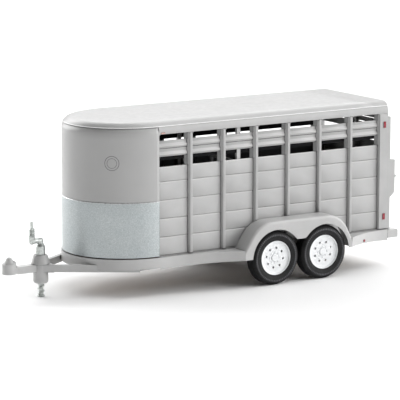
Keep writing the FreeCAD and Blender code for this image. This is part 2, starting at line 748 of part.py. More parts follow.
TUBE_END = 860
STUB_LENGTH = 60
arm_angle = math.degrees(math.atan2(cell("arm_rise"), cell("arm_reach")))
arm_span = math.hypot(cell("arm_rise"), cell("arm_reach"))
axle_parts = []
for name in ("front_axle", "rear_axle"):
    pivot_x = f"{name} + arm_reach"
    corner = f"{pivot_x} - axle_tube / 2"
    low = "tyre_radius - arm_rise - axle_tube / 2"
    square = box(name + "_bar", ("axle_tube", f"2 * {TUBE_END}", "axle_tube"),
                 (corner, f"-{TUBE_END}", low))
    core = box(name + "_core", ("axle_tube - 12", f"2 * {TUBE_END} - 160", "axle_tube - 12"),
               (corner + " + 6", f"80 - {TUBE_END}", low + " + 6"))
    bores = []
    for side, start in (("left", TUBE_END - 85), ("right", -TUBE_END - 1)):
        bores.append(rod(f"{name}_bore_{side}", "stub + running_gap", "86",
                         (pivot_x, str(start), "tyre_radius - arm_rise"), "y"))
    bracket = box(name + "_bracket", ("110", "rail_width", "10"),
                  (pivot_x + " - 55", "rail_outer - rail_width", "rail_base - 10"))
    tube_body = cut(name + "_tube", square, core, *bores)
    axle_parts.append(fuse(name + "_axle", tube_body, bracket,
                           mirrored(name + "_bracket_right", bracket)))
node(group("axle_set", axle_parts), "axle_tubes")

# Wheel profiles are (radius, distance outwards from the wheel centre plane).
tyre_half = cell("tyre_half")
tyre_r = cell("tyre_radius")
flange_r = cell("flange_radius")
SEAT = flange_r - 9
GROOVES = (-54, -18, 18, 54)


def tyre_profile():
    """Section of the tyre with four tread grooves."""
    outer = [(SEAT, -80), (flange_r + 3, -97), (310, -111), (345, -tyre_half), (375, -109),
             (tyre_r - 6, -97), (tyre_r, -84)]
    for groove in GROOVES:
        outer += [(tyre_r, groove - 5), (tyre_r - 9, groove - 4), (tyre_r - 9, groove + 4),
                  (tyre_r, groove + 5)]
    outer += [(radius, -offset) for radius, offset in reversed(outer[:7])]
    inner = [(SEAT, 66), (290, 92), (345, 99), (380, 80)]
    return outer + inner + [(radius, -offset) for radius, offset in reversed(inner)]


def rim_profile(side):
    """Section of the rim: flanges, drop centre and the disc towards the outside."""
    barrel = [(flange_r, 99), (flange_r, 93), (SEAT, 80), (SEAT, 34), (SEAT - 14, 20),
              (SEAT - 14, -38), (SEAT, -54), (SEAT, -80), (flange_r, -93), (flange_r, -99),
              (flange_r - 6, -99), (SEAT - 7, -84), (SEAT - 7, -56), (SEAT - 21, -42),
              (SEAT - 21, 24), (SEAT - 7, 38), (SEAT - 12, 48), (SEAT - 42, 62), (62, 62),
              (62, 69), (SEAT - 42, 69), (SEAT - 12, 74), (SEAT - 7, 84),
              (flange_r - 7, 99)]
    return [(radius, offset * side) for radius, offset in barrel]


def hub_profile(side):
    """Section of the hub and brake drum with its dust cap."""
    bore = cell("spindle") + cell("running_gap")
    section = [(bore, -85), (165, -85), (165, -25), (60, -18), (60, 44), (105, 44), (105, 62),
               (58, 62), (58, 73), (48, 77), (0, 78), (0, 60), (bore, 60)]
    return [(radius, offset * side) for radius, offset in section]


HOLE_TURN = {"front_axle": 10, "rear_axle": 24}
NUT_HEIGHT = 7
DISC_FACE = 69


def wheel(corner, axle, side):
    """Tyre, rim, hub and wheel nuts of one wheel."""
    where = (axle, f"{side} * wheel_plane", "tyre_radius")
    node(turned(f"tyre_{corner}_body", "XY_Plane", tyre_profile(), where), f"tyre_{corner}")
    rim = turned(f"rim_{corner}_body", "XY_Plane", rim_profile(side), where)
    turned_by = math.radians(HOLE_TURN[axle])
    circle = cell("hand_hole_circle")
    holes = sketched(rim, f"rim_{corner}_hole", "XZ_Plane", [],
                     [(-circle * math.sin(turned_by), circle * math.cos(turned_by), cell("hand_hole"))])
    pocket = rim.newObject("PartDesign::Pocket", f"rim_{corner}_pocket")
    pocket.Profile = holes
    pocket.Type = "ThroughAll"
    pocket.Midplane = True
    pattern = rim.newObject("PartDesign::PolarPattern", f"rim_{corner}_pattern")
    pattern.Originals = [pocket]
    pattern.Axis = (holes, ["N_Axis"])
    pattern.Angle = 360
    pattern.Occurrences = 8
    rim.Tip = pattern
    node(rim, f"wheel_rim_{corner}")
    node(turned(f"hub_{corner}_body", "XY_Plane", hub_profile(side), where), f"hub_{corner}")
    nuts = []
    for index in range(8):
        turn = math.radians(45 * index)
        nut = doc.addObject("Part::Prism", f"nut_{corner}_{index}")
        nut.Polygon = 6
        nut.Circumradius = 12
        nut.Height = NUT_HEIGHT
        nut.Placement = FreeCAD.Placement(V(0, 0, 0), ALONG["y"])
        start = DISC_FACE if side > 0 else -DISC_FACE - NUT_HEIGHT
        place(nut, (f"{axle} + stud_circle * {math.sin(turn):.6f}", f"{side} * wheel_plane + {start}",
                    f"tyre_radius + stud_circle * {math.cos(turn):.6f}"))
        nuts.append(nut)
    node(group(f"nut_set_{corner}", nuts), f"wheel_nuts_{corner}")


def torsion_arm(corner, axle, side):
    """Trailing arm with the spindle for the wheel and the stub for the axle tube."""
    low = "arm_face" if side > 0 else "-arm_face - arm_plate"
    pivot = (f"{axle} + arm_reach", low, "tyre_radius - arm_rise")
    pivot_boss = rod(f"arm_{corner}_pivot", "44", "arm_plate", pivot, "y")
    end_boss = rod(f"arm_{corner}_end", "38", "arm_plate", (axle, low, "tyre_radius"), "y")
    web = doc.addObject("Part::Box", f"arm_{corner}_web")
    web.Length = arm_span
    web.Height = 56
    web.setExpression("Width", bound("arm_plate"))
    tilt = FreeCAD.Rotation(V(0, 1, 0), 180 + arm_angle)
    drop = tilt.multVec(V(0, 0, 28))
    web.Placement = FreeCAD.Placement(V(0, 0, 0), tilt)
    place(web, (f"{axle} + arm_reach - {drop.x:.4f}", low, f"tyre_radius - arm_rise - {drop.z:.4f}"))
    reach = "wheel_plane + 56 - arm_face - arm_plate"
    spindle_low = "arm_face + arm_plate" if side > 0 else "-wheel_plane - 56"
    spindle = rod(f"arm_{corner}_spindle", "spindle", reach, (axle, spindle_low, "tyre_radius"), "y")
    stub_low = f"arm_face - {STUB_LENGTH}" if side > 0 else "-arm_face"
    stub = rod(f"arm_{corner}_stub", "stub", str(STUB_LENGTH),
               (f"{axle} + arm_reach", stub_low, "tyre_radius - arm_rise"), "y")
    node(fuse(f"arm_{corner}", pivot_boss, end_boss, web, spindle, stub), f"torsion_arm_{corner}")


for corner, axle, side in (("front_left", "front_axle", 1), ("front_right", "front_axle", -1),
                           ("rear_left", "rear_axle", 1), ("rear_right", "rear_axle", -1)):
    torsion_arm(corner, axle, side)
    wheel(corner, axle, side)

# ---------------------------------------------------------------- coupler

coupler_x = cell("coupler_x")
HEAD_BASE = 386
HEAD_TOP = 534
BALL_Z = 420
head = rod("coupler_head", "head_radius", str(HEAD_TOP - HEAD_BASE), ("coupler_x", "0", str(HEAD_BASE)))
dome = doc.addObject("Part::Cone", "coupler_dome")
dome.Radius1 = 84
dome.Radius2 = 52
dome.Height = 46
place(dome, ("coupler_x", "0", str(HEAD_TOP)))
crown = doc.addObject("Part::Sphere", "coupler_crown")
crown.Radius = 52
place(crown, ("coupler_x", "0", str(HEAD_TOP + 42)))
NECK_HALF = 80
neck = feature("coupler_neck", prism([(coupler_x, NECK_HALF), (coupler_x, -NECK_HALF),
                                      (TONGUE_TIP_X, -drawbar_half - 6), (TONGUE_TIP_X, drawbar_half + 6)],
                                     lambda u, v: V(u, v, HEAD_BASE), V(0, 0, tongue_top - HEAD_BASE)))
RAMP_WIDTH = 64
RAMP_BASE = tongue_base + 40
ramp = feature("coupler_ramp", prism([(coupler_x, RAMP_BASE), (coupler_x, 600),
                                      (TONGUE_TIP_X, tongue_top + 14), (TONGUE_TIP_X, RAMP_BASE)],
                                     lambda u, v: V(u, -RAMP_WIDTH / 2, v), V(0, RAMP_WIDTH, 0)))
mouth = rod("coupler_mouth", "socket_radius", str(BALL_Z - HEAD_BASE + 1),
            ("coupler_x", "0", str(HEAD_BASE - 1)))
socket = doc.addObject("Part::Sphere", "coupler_socket")
socket.setExpression("Radius", bound("socket_radius"))
place(socket, ("coupler_x", "0", str(BALL_Z)))
LEVER_WIDTH = 30
lever_slot = feature("lever_slot", slab(TONGUE_TIP_X + 3, coupler_x - 20, -LEVER_WIDTH / 2 - 1,
                                        LEVER_WIDTH / 2 + 1, HEAD_TOP + 2, 700))
LEVER_X = coupler_x - 40
LEVER_Z = 566
LEVER_TAIL = TONGUE_TIP_X + 9
lever_bore = rod("lever_bore", "7 + running_gap", "200", ("coupler_x - 40", "-100", str(LEVER_Z)), "y")
head_weld = fuse("coupler_weld", head, dome, crown, neck, ramp)
node(cut("coupler_body", head_weld, mouth, socket, lever_slot, lever_bore), "coupler")

lever_plate = feature("lever_plate", prism([(LEVER_X + 12, LEVER_Z - 10), (LEVER_X + 12, LEVER_Z + 12, 8),
                                            (LEVER_X - 12, LEVER_Z + 16), (LEVER_TAIL, 554, 6),
                                            (LEVER_TAIL, 540)],
                                           lambda u, v: V(u, -LEVER_WIDTH / 2, v),
                                           V(0, LEVER_WIDTH, 0)))
lever_pin = rod("lever_pin", "7", "64", ("coupler_x - 40", "-32", str(LEVER_Z)), "y")
node(fuse("coupler_lever", lever_plate, lever_pin), "coupler_latch")

# ---------------------------------------------------------------- jack

JACK_BORE = 70
SCREW_REACH = 54
jack_at = ("jack_x", "0", "0")
HOUSING_TOP = 616
node(turned("jack_housing_body", "XZ_Plane",
            [(SCREW_REACH + 2, 200), (82, 200), (JACK_BODY - 8, 214), (JACK_BODY, 240),
             (JACK_BODY, tongue_top + PLATE), (136, tongue_top + PLATE), (134, 500), (106, 600),
             (98, HOUSING_TOP), (JACK_BORE, HOUSING_TOP), (JACK_BORE, 232), (SCREW_REACH + 2, 224)],
            jack_at), "jack_housing")

SCREW_CORE = 38
RIDGE = 16
FOOT_TOP = 28
SLEEVE_BASE = 450
SLEEVE_TOP = 738
CRANK_Z = 823
CRANK_REACH = 136
CRANK_ARM = 42
lead = cell("jack_lead")
helix = Part.makeLongHelix(lead, SLEEVE_BASE - FOOT_TOP - 40, SCREW_CORE)
ridge_section = Part.Wire([Part.makeCircle(RIDGE, V(SCREW_CORE, 0, 0), V(0, 1, 0))])
ridge = Part.Wire(helix.Edges).makePipeShell([ridge_section], True, True)
ridge.translate(V(cell("jack_x"), 0, FOOT_TOP + 20))
core = Part.makeCylinder(SCREW_CORE, SLEEVE_BASE - FOOT_TOP - 2, V(cell("jack_x"), 0, FOOT_TOP + 2))
spigot = Part.makeCylinder(20, 18, V(cell("jack_x"), 0, FOOT_TOP - 14))
screw = feature("screw_thread", core.fuse(ridge).fuse(spigot))
sleeve = rod("crank_sleeve", "68", str(SLEEVE_TOP - SLEEVE_BASE), ("jack_x", "0", str(SLEEVE_BASE)))
shoulder = doc.addObject("Part::Cone", "crank_shoulder")
shoulder.Radius1 = 68
shoulder.Radius2 = CRANK_ARM
shoulder.Height = 46
place(shoulder, ("jack_x", "0", str(SLEEVE_TOP)))
riser = rod("crank_riser", str(CRANK_ARM), str(CRANK_Z - SLEEVE_TOP - 40),
            ("jack_x", "0", str(SLEEVE_TOP + 40)))
elbow = doc.addObject("Part::Sphere", "crank_elbow")
elbow.Radius = CRANK_ARM
place(elbow, ("jack_x", "0", str(CRANK_Z)))
arm = rod("crank_arm", str(CRANK_ARM), str(CRANK_REACH), ("jack_x", "0", str(CRANK_Z)), "x")
knuckle = doc.addObject("Part::Sphere", "crank_knuckle")
knuckle.Radius = CRANK_ARM + 2
place(knuckle, (f"jack_x + {CRANK_REACH}", "0", str(CRANK_Z - 8)))
GRIP_BASE = 893
post = rod("crank_post", str(CRANK_ARM + 2), str(GRIP_BASE - 1 - CRANK_Z + 8),
           (f"jack_x + {CRANK_REACH}", "0", str(CRANK_Z - 8)))
grip_pin = rod("grip_pin", "12", "250", (f"jack_x + {CRANK_REACH}", "0", str(CRANK_Z)))
node(fuse("crank_weld", screw, sleeve, shoulder, riser, elbow, arm, knuckle, post, grip_pin), "jack_screw")

GRIP_TOP = 1105
GRIP_RIDGES = 4
grip_bore = 12 + cell("running_gap")
grip_corners = [(grip_bore, GRIP_BASE), (38, GRIP_BASE)]
for ring in range(GRIP_RIDGES):
    low = GRIP_BASE + ring * 29
    grip_corners += [(46, low + 9), (46, low + 18), (35, low + 28)]
grip_corners += [(23, GRIP_BASE + 124), (23, GRIP_TOP - 8), (17, GRIP_TOP), (0, GRIP_TOP),
                 (0, GRIP_TOP - 16), (grip_bore, GRIP_TOP - 16)]
node(turned("crank_grip_body", "XZ_Plane", grip_corners, (f"jack_x + {CRANK_REACH}", "0", "0")),
     "crank_grip")

foot_bore = 20 + cell("running_gap")
node(turned("jack_foot_body", "XZ_Plane",
            [(0, 0), (50, 0), (53, 4), (53, 20), (44, FOOT_TOP), (foot_bore, FOOT_TOP),
             (foot_bore, FOOT_TOP - 15), (0, FOOT_TOP - 15)], jack_at), "jack_foot")

# ---------------------------------------------------------------- rear gate

GATE_GAP = 5
gate_x = f"(side_front - side_length - {GATE_GAP} - gate_tube)"
GATE_FRONT = rear_face - GATE_GAP
GATE_BACK = GATE_FRONT - cell("gate_tube")
gate_base = cell("gate_base")
gate_top = cell("gate_top")
gate_half = cell("gate_half")
gate_tube = cell("gate_tube")
uprights = []
for name, y_low in (("left", "gate_half - gate_tube"), ("right", "-gate_half"),
                    ("middle", "-gate_tube / 2")):
    uprights.append(tube(f"gate_upright_{name}", ("gate_tube", "gate_tube", "gate_top - gate_base"),
                         "4", (gate_x, y_low, "gate_base"), "z"))
crossbars = []
for name, level in (("bottom", "gate_base"), ("top", "gate_top - gate_tube")):
    for part, y_low in (("right", "gate_tube - gate_half"), ("left", "gate_tube / 2")):
        crossbars.append(tube(f"gate_{name}_{part}", ("gate_tube", "gate_half - 1.5 * gate_tube",
                                                      "gate_tube"), "4", (gate_x, y_low, level), "y"))
TRACK_DEPTH = 28
TRACK_LIP = 30
tracks = []
for name, flat_z, lip_z in (("top", gate_top - 3, gate_top - TRACK_LIP),
                            ("bottom", gate_base, gate_base)):
    flat = slab(GATE_BACK - TRACK_DEPTH, GATE_BACK, -gate_half + 8, gate_half - 52, flat_z, flat_z + 3)
    lip = slab(GATE_BACK - TRACK_DEPTH, GATE_BACK - TRACK_DEPTH + 3, -gate_half + 8, gate_half - 52,
               lip_z, lip_z + TRACK_LIP)
    tracks += [feature(f"gate_track_{name}", flat.cut(lip)), feature(f"gate_lip_{name}", lip)]

# Barrel hinges: the lower knuckle and its pin stay on the corner post, the upper one swings.
HINGE_LEVELS = (880, 1430, 2100)
KNUCKLE = 14
PIN = 8
hinge_x = rear_face - cell("hinge_set")
hinge_y = cell("hinge_y")
moving_knuckles = []
fixed_knuckles = []
for index, level in enumerate(HINGE_LEVELS):
    moving = Part.makeCylinder(KNUCKLE, 40, V(hinge_x, hinge_y, level + 0.5))
    leaf = slab(hinge_x - 8, hinge_x + 8, hinge_y + 6, -gate_half, level + 0.5, level + 40.5)
    bore = Part.makeCylinder(PIN + cell("running_gap"), 60, V(hinge_x, hinge_y, level - 5))
    moving_knuckles.append(feature(f"gate_knuckle_{index}", moving.fuse(leaf).cut(bore)))
    fixed = Part.makeCylinder(KNUCKLE, 40, V(hinge_x, hinge_y, level - 40))
    strap = slab(hinge_x, rear_face + 70, -half_width - 9, -half_width, level - 40, level)
    bar = Part.makeCylinder(PIN, 82, V(hinge_x, hinge_y, level - 38))
    fixed_knuckles.append(fixed.fuse(strap).fuse(bar).removeSplitter())

latch_hole = rod("gate_latch_hole", "11", "80", (gate_x + " - 10", str(LATCH_Y), str(LATCH_Z)), "x")
uprights[0] = cut("gate_latch_upright", uprights[0], latch_hole)
node(group("gate_frame", uprights + crossbars + tracks + moving_knuckles), "rear_gate_frame")

# The fixed right half: a planked sheet below, slats above, set inside the frame.
right_low = -gate_half + gate_tube
right_high = -gate_tube / 2
PANEL_X = GATE_BACK + 14


def gate_sheet(y_low, y_high, x_face, base, high, count):
    """Planked sheet facing the rear, between two heights."""
    step = (high - base) / count
    front = []
    for index in range(count):
        low = base + index * step
        front += [(x_face + relief, low), (x_face, low + UNDERCUT),
                  (x_face, low + step - BEVEL), (x_face + relief, low + step - 1)]
    back = [(x + gauge, z) for x, z in reversed(front)]
    return prism(front + back, lambda u, v: V(u, y_low, v), V(0, y_high - y_low, 0))


def gate_slat(y_low, y_high, x_face, base, high):
    """A flat slat across the upper opening of the gate."""
    return slab(x_face, x_face + 10, y_low, y_high, base, high)


SLAT_LEVELS = ((2019, 2125), (2140, gate_top - gate_tube - 25))
panel_top = cell("panel_top")
fixed_half = [gate_sheet(right_low, right_high, PANEL_X, gate_base + gate_tube, panel_top, PLANKS)]
for low, high in SLAT_LEVELS:
    fixed_half.append(gate_slat(right_low, right_high, PANEL_X, low, high))
feature("gate_panel_set", Part.makeCompound(fixed_half), "rear_gate_panel")

# The sliding left half runs in the tracks behind the frame.
SLIDE_THICK = 18
SLIDE_FRAME = 40
slide_back = GATE_BACK - 4 - SLIDE_THICK
slide_low = 12
slide_high = gate_half - 60
slide_base = gate_base + 7
slide_top = gate_top - 8
slide_front = slide_back + SLIDE_THICK
inner_low = slide_low + SLIDE_FRAME
inner_high = slide_high - SLIDE_FRAME
slide_pieces = [slab(slide_back, slide_front, slide_low, inner_low, slide_base, slide_top),
                slab(slide_back, slide_front, inner_high, slide_high, slide_base, slide_top),
                slab(slide_back, slide_front, inner_low, inner_high, slide_base, slide_base + SLIDE_FRAME),
                slab(slide_back, slide_front, inner_low, inner_high, slide_top - SLIDE_FRAME, slide_top)]
slide_pieces.append(gate_sheet(inner_low, inner_high, slide_back + 2, slide_base + SLIDE_FRAME,
                               panel_top, PLANKS))
for low, high in SLAT_LEVELS:
    slide_pieces.append(gate_slat(inner_low, inner_high, slide_back + 4, low,
                                  min(high, slide_top - SLIDE_FRAME - 20)))
HANDLE_X = slide_back - 22
HANDLE_Y = slide_high - 20
grab = Part.makeCylinder(8, 200, V(HANDLE_X, HANDLE_Y, 1280))
slide_pieces.append(grab)
for level in (1290, 1470):
    stem = Part.makeCylinder(7, slide_back - HANDLE_X, V(HANDLE_X, HANDLE_Y, level), V(1, 0, 0))
    slide_pieces.append(stem.cut(grab))
feature("slide_gate_set", Part.makeCompound(slide_pieces), "slide_gate")

# Latch: a plunger in a box on the frame, modelled drawn back; pushed in, its pin enters the corner post.
BOX_DEPTH = 88
BOX_LOW = 1051
BOX_HIGH = 1640
BOX_WIDTH = 46
box_y = gate_half - BOX_WIDTH
latch_case = prism([(GATE_BACK, BOX_LOW), (GATE_BACK, BOX_HIGH), (GATE_BACK - BOX_DEPTH, BOX_HIGH - 12),
                    (GATE_BACK - BOX_DEPTH, BOX_LOW + 78)],
                   lambda u, v: V(u, box_y, v), V(0, BOX_WIDTH, 0))
case_core = prism([(GATE_BACK + 1, BOX_LOW + 8), (GATE_BACK + 1, BOX_HIGH - 4),
                   (GATE_BACK - BOX_DEPTH + 4, BOX_HIGH - 17),
                   (GATE_BACK - BOX_DEPTH + 4, BOX_LOW + 82)],
                  lambda u, v: V(u, box_y + 4, v), V(0, BOX_WIDTH - 8, 0))
plunger_hole = Part.makeCylinder(11, 200, V(GATE_BACK - BOX_DEPTH - 20, LATCH_Y, LATCH_Z), V(1, 0, 0))
feature("latch_case", latch_case.cut(case_core).cut(plunger_hole), "gate_latch_box")

KNOB_BACK = GATE_BACK - BOX_DEPTH - 40
PIN_TIP = GATE_FRONT - 1
plunger = Part.makeCylinder(10, PIN_TIP - KNOB_BACK - 4, V(KNOB_BACK + 4, LATCH_Y, LATCH_Z), V(1, 0, 0))
knob = Part.makeCone(14, 19, 10, V(KNOB_BACK, LATCH_Y, LATCH_Z), V(1, 0, 0))
knob = knob.fuse(Part.makeCylinder(19, 7, V(KNOB_BACK + 10, LATCH_Y, LATCH_Z), V(1, 0, 0)))
collar = Part.makeCylinder(16, 8, V(GATE_BACK - 42, LATCH_Y, LATCH_Z), V(1, 0, 0))
feature("latch_plunger", plunger.fuse(knob).fuse(collar).removeSplitter(), "gate_latch_plunger")

# ---------------------------------------------------------------- centre gate

divider_x = cell("divider_x")
DIVIDER_POST = 60
WALL_INNER = panel_face - relief - gauge - 1
divider_posts = []
for side in (1, -1):
    y_low = WALL_INNER - 44 if side > 0 else -WALL_INNER
    post = slab(divider_x - DIVIDER_POST / 2, divider_x + DIVIDER_POST / 2, y_low, y_low + 44,
                rail_top + cell("plank_thick"), window_top - 1)
    core = slab(divider_x - DIVIDER_POST / 2 + 4, divider_x + DIVIDER_POST / 2 - 4, y_low + 4,
                y_low + 40, rail_top + cell("plank_thick") - 1, window_top)
    divider_posts.append(post.cut(core))

swing_x = divider_x - DIVIDER_POST / 2 - 26
swing_y = -WALL_INNER + 24
DIVIDER_BASE = 640
DIVIDER_TOP = 1830
DIVIDER_TUBE = 34
gate_left = WALL_INNER - 6
gate_right = swing_y + 22
DIVIDER_WALL = 3


def divider_bar(y_low, y_high, z_low, z_high, upright):
    """A hollow bar of the centre gate, open at its two ends."""
    wall = DIVIDER_WALL
    half = DIVIDER_TUBE / 2
    bar = slab(swing_x - half, swing_x + half, y_low, y_high, z_low, z_high)
    if upright:
        return bar.cut(slab(swing_x - half + wall, swing_x + half - wall, y_low + wall, y_high - wall,
                            z_low - 1, z_high + 1))
    return bar.cut(slab(swing_x - half + wall, swing_x + half - wall, y_low - 1, y_high + 1,
                        z_low + wall, z_high - wall))


bars = []
middle_low = (gate_right + gate_left - DIVIDER_TUBE) / 2
for y_low in (gate_right, middle_low, gate_left - DIVIDER_TUBE):
    bars.append(divider_bar(y_low, y_low + DIVIDER_TUBE, DIVIDER_BASE, DIVIDER_TOP, True))
DIVIDER_BARS = 6
for index in range(DIVIDER_BARS):
    level = DIVIDER_BASE + index * (DIVIDER_TOP - DIVIDER_TUBE - DIVIDER_BASE) / (DIVIDER_BARS - 1)
    for y_low, y_high in ((gate_right + DIVIDER_TUBE, middle_low),
                          (middle_low + DIVIDER_TUBE, gate_left - DIVIDER_TUBE)):
        bars.append(divider_bar(y_low, y_high, level, level + DIVIDER_TUBE, False))
DIVIDER_HINGES = (800, 1600)
for level in DIVIDER_HINGES:
    eye = Part.makeCylinder(15, 40, V(swing_x, swing_y, level + 0.5))
    leaf = slab(swing_x - 8, swing_x + 8, swing_y + 6, gate_right, level + 0.5, level + 40.5)
    bore = Part.makeCylinder(PIN + cell("running_gap"), 60, V(swing_x, swing_y, level - 5))
    bars.append(eye.fuse(leaf).cut(bore))
    foot = Part.makeCylinder(15, 36, V(swing_x, swing_y, level - 36))
    lug = slab(swing_x, divider_x - DIVIDER_POST / 2, swing_y - 8, swing_y + 8, level - 36, level)
    bar = Part.makeCylinder(PIN, 78, V(swing_x, swing_y, level - 34))
    fixed_knuckles.append(foot.fuse(lug).fuse(bar).removeSplitter())
feature("centre_gate_set", Part.makeCompound(bars), "centre_gate")
feature("divider_post_set", Part.makeCompound(divider_posts), "centre_gate_posts")
feature("hinge_pin_set", Part.makeCompound(fixed_knuckles), "hinge_pins")

# ---------------------------------------------------------------- checks and export

doc.recompute()
faults = [obj.Name for obj in doc.Objects if {"Invalid", "Error"} & set(obj.State)]
for obj in NODES:
    shape = obj.Shape
    if shape.isNull() or not shape.isValid() or not shape.Solids:
        faults.append(obj.Label)
if faults:
    raise RuntimeError("failed: " + ", ".join(faults))
names = [obj.Label for obj in NODES]
if len(set(names)) != len(names) or len(names) > 60:
    raise RuntimeError(f"{len(names)} nodes, {len(set(names))} different names")

os.makedirs("parts", exist_ok=True)
for obj in NODES:
    obj.Shape.exportStep(f"parts/{obj.Label}.step")
    print(obj.Label, len(obj.Shape.Solids), round(obj.Shape.Volume / 1e6, 2), "litres")
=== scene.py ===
import math

import bmesh
import bpy
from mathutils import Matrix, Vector


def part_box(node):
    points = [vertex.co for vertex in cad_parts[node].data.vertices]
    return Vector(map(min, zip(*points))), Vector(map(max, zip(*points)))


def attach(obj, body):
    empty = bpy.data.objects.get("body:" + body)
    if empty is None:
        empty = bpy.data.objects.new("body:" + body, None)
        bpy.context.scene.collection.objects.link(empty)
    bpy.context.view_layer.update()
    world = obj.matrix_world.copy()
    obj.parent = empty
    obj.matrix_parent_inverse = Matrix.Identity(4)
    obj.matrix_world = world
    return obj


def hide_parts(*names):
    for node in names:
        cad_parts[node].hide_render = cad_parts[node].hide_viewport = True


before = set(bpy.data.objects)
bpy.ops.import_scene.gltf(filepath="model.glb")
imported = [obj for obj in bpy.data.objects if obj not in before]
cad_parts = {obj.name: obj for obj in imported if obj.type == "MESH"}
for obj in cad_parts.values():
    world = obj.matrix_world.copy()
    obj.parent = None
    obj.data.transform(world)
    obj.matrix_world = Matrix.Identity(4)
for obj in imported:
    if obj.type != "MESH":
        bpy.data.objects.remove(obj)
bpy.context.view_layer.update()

# Livestock trailer. Metres; X forward, Y to the left, Z up, as in the frame.

CORNERS = ("front_left", "front_right", "rear_left", "rear_right")
SIDES = (("left", 1), ("right", -1))

# ---------------------------------------------------------------- measures read from the frame


def low(node):
    """Lowest corner of a CAD node."""
    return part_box(node)[0]


def high(node):
    """Highest corner of a CAD node."""
    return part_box(node)[1]


REAR = low("top_rails").x
NOSE_JOINT = low("nose_skin").x
HALF = high("nose_skin").y
NOSE_DEPTH = high("nose_skin").x - NOSE_JOINT
WALL_BASE = low("nose_skin").z
DRIP = high("nose_skin").z
ROOF_TOP = high("roof_shell").z
WINDOW_TOP = high("side_posts").z
GUARD_TOP = high("stone_guard").z
PANEL_REAR = low("side_panels_left").x
PANEL_BASE = low("side_panels_left").z
PANEL_TOP = high("side_panels_left").z
SLAT_BASE = low("vent_slats_left").z
SLAT_TOP = high("vent_slats_left").z

# ---------------------------------------------------------------- measures as in the CAD source

SHEET = 0.003
COVE = 0.150
COVE_BASE = ROOF_TOP - SHEET - COVE
POST = 0.050
PITCH = NOSE_JOINT + POST - high("side_posts").x
BAYS = 7
PLANKS = 5
PANEL_FACE = HALF - 0.045

# A point inside the body, which its sheets face away from.
INSIDE = Vector((-0.9, 0, 1.4))

# ---------------------------------------------------------------- measures given here

BADGE_X, BADGE_Y, BADGE_Z = 1.735, 0.673, 1.962
BADGE_RINGS = ((0.103, 0.0042), (0.070, 0.0032))
GUARD_PROUD = 0.004
GUARD_LIP_RADIUS = 0.006
BEAD_RADIUS = 0.0072
BEAD_RISE = 0.0068
HEADER_BASE = 2.294
CORNER = 0.026
FILLET_DEPTH = 0.030
PLANK_PITCH = 0.269
PLANK_RISE = 0.012
PLANK_REVEAL = 0.013
SLAT_REVEAL = 0.024
OPENING_TOP = WINDOW_TOP + 0.0005
# Lower end, upper end and width of the sloped filling behind each post.
REVEALS = ((WALL_BASE, PANEL_TOP, PLANK_REVEAL), (PANEL_TOP, SLAT_BASE, SLAT_REVEAL),
           (SLAT_BASE, SLAT_TOP, SLAT_REVEAL), (SLAT_TOP, OPENING_TOP, SLAT_REVEAL))
FORWARD_REVEAL = -0.012
# Lower edge of the black sheets behind the slats, which stand for painted shade.
SHADE_SHEET_BASE = 1.968
LATCH_POCKET = 0.030
TREAD_TEETH = 72
TOOTH_DEPTH = 0.006

# ---------------------------------------------------------------- mesh helpers


class Shape:
    """Points and faces gathered for one piece."""

    def __init__(self):
        self.points = []
        self.faces = []

    def add(self, points, faces):
        """Append points, and faces that count from the first of them."""
        start = len(self.points)
        self.points += [Vector(point) for point in points]
        self.faces += [[start + index for index in face] for face in faces]
        return self

    def loft(self, rings, closed=True, caps=True):
        """A skin through rings that have equally many points."""
        count = len(rings[0])
        faces = []
        for row in range(len(rings) - 1):
            for index in range(count if closed else count - 1):
                after = (index + 1) % count
                faces.append([row * count + index, row * count + after,
                              (row + 1) * count + after, (row + 1) * count + index])
        if caps:
            last = (len(rings) - 1) * count
            faces.append(list(range(count))[::-1])
            faces.append([last + index for index in range(count)])
        return self.add([point for ring in rings for point in ring], faces)

    def block(self, lo, hi):
        """A block between two corners."""
        ring = [(lo[0], lo[1]), (hi[0], lo[1]), (hi[0], hi[1]), (lo[0], hi[1])]
        return self.loft([[(x, y, z) for x, y in ring] for z in (lo[2], hi[2])])

    def mirror(self):
        """Add the same form on the other side of the centreline."""
        twin = [Vector((point.x, -point.y, point.z)) for point in self.points]
        return self.add(twin, [face[::-1] for face in self.faces])

    def to_side(self, sign):
        """Put a form drawn on the left on the left (1) or the right (-1)."""
        self.points = [Vector((point.x, point.y * sign, point.z)) for point in self.points]

    def piece(self, name, body, materials, replaces=(), sheet=0, bevel=0, segments=2,
              sharp=35, facing=None):
        """Make the Blender object and tie it to its body."""
        mesh = bpy.data.meshes.new(name)
        mesh.from_pydata([tuple(point) for point in self.points], [], self.faces)
        work = bmesh.new()
        work.from_mesh(mesh)
        bmesh.ops.remove_doubles(work, verts=work.verts, dist=1e-5)
        if facing is None:
            bmesh.ops.recalc_face_normals(work, faces=work.faces)
        else:
            work.normal_update()
            wrong = [face for face in work.faces
                     if face.normal.dot(face.calc_center_median() - facing) < 0]
            bmesh.ops.reverse_faces(work, faces=wrong)
        work.to_mesh(mesh)
        work.free()
        obj = bpy.data.objects.new(name, mesh)
        bpy.context.scene.collection.objects.link(obj)
        dress(obj, materials, sheet, bevel, segments, sharp)
        if replaces:
            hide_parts(*replaces)
        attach(obj, body)
        return obj


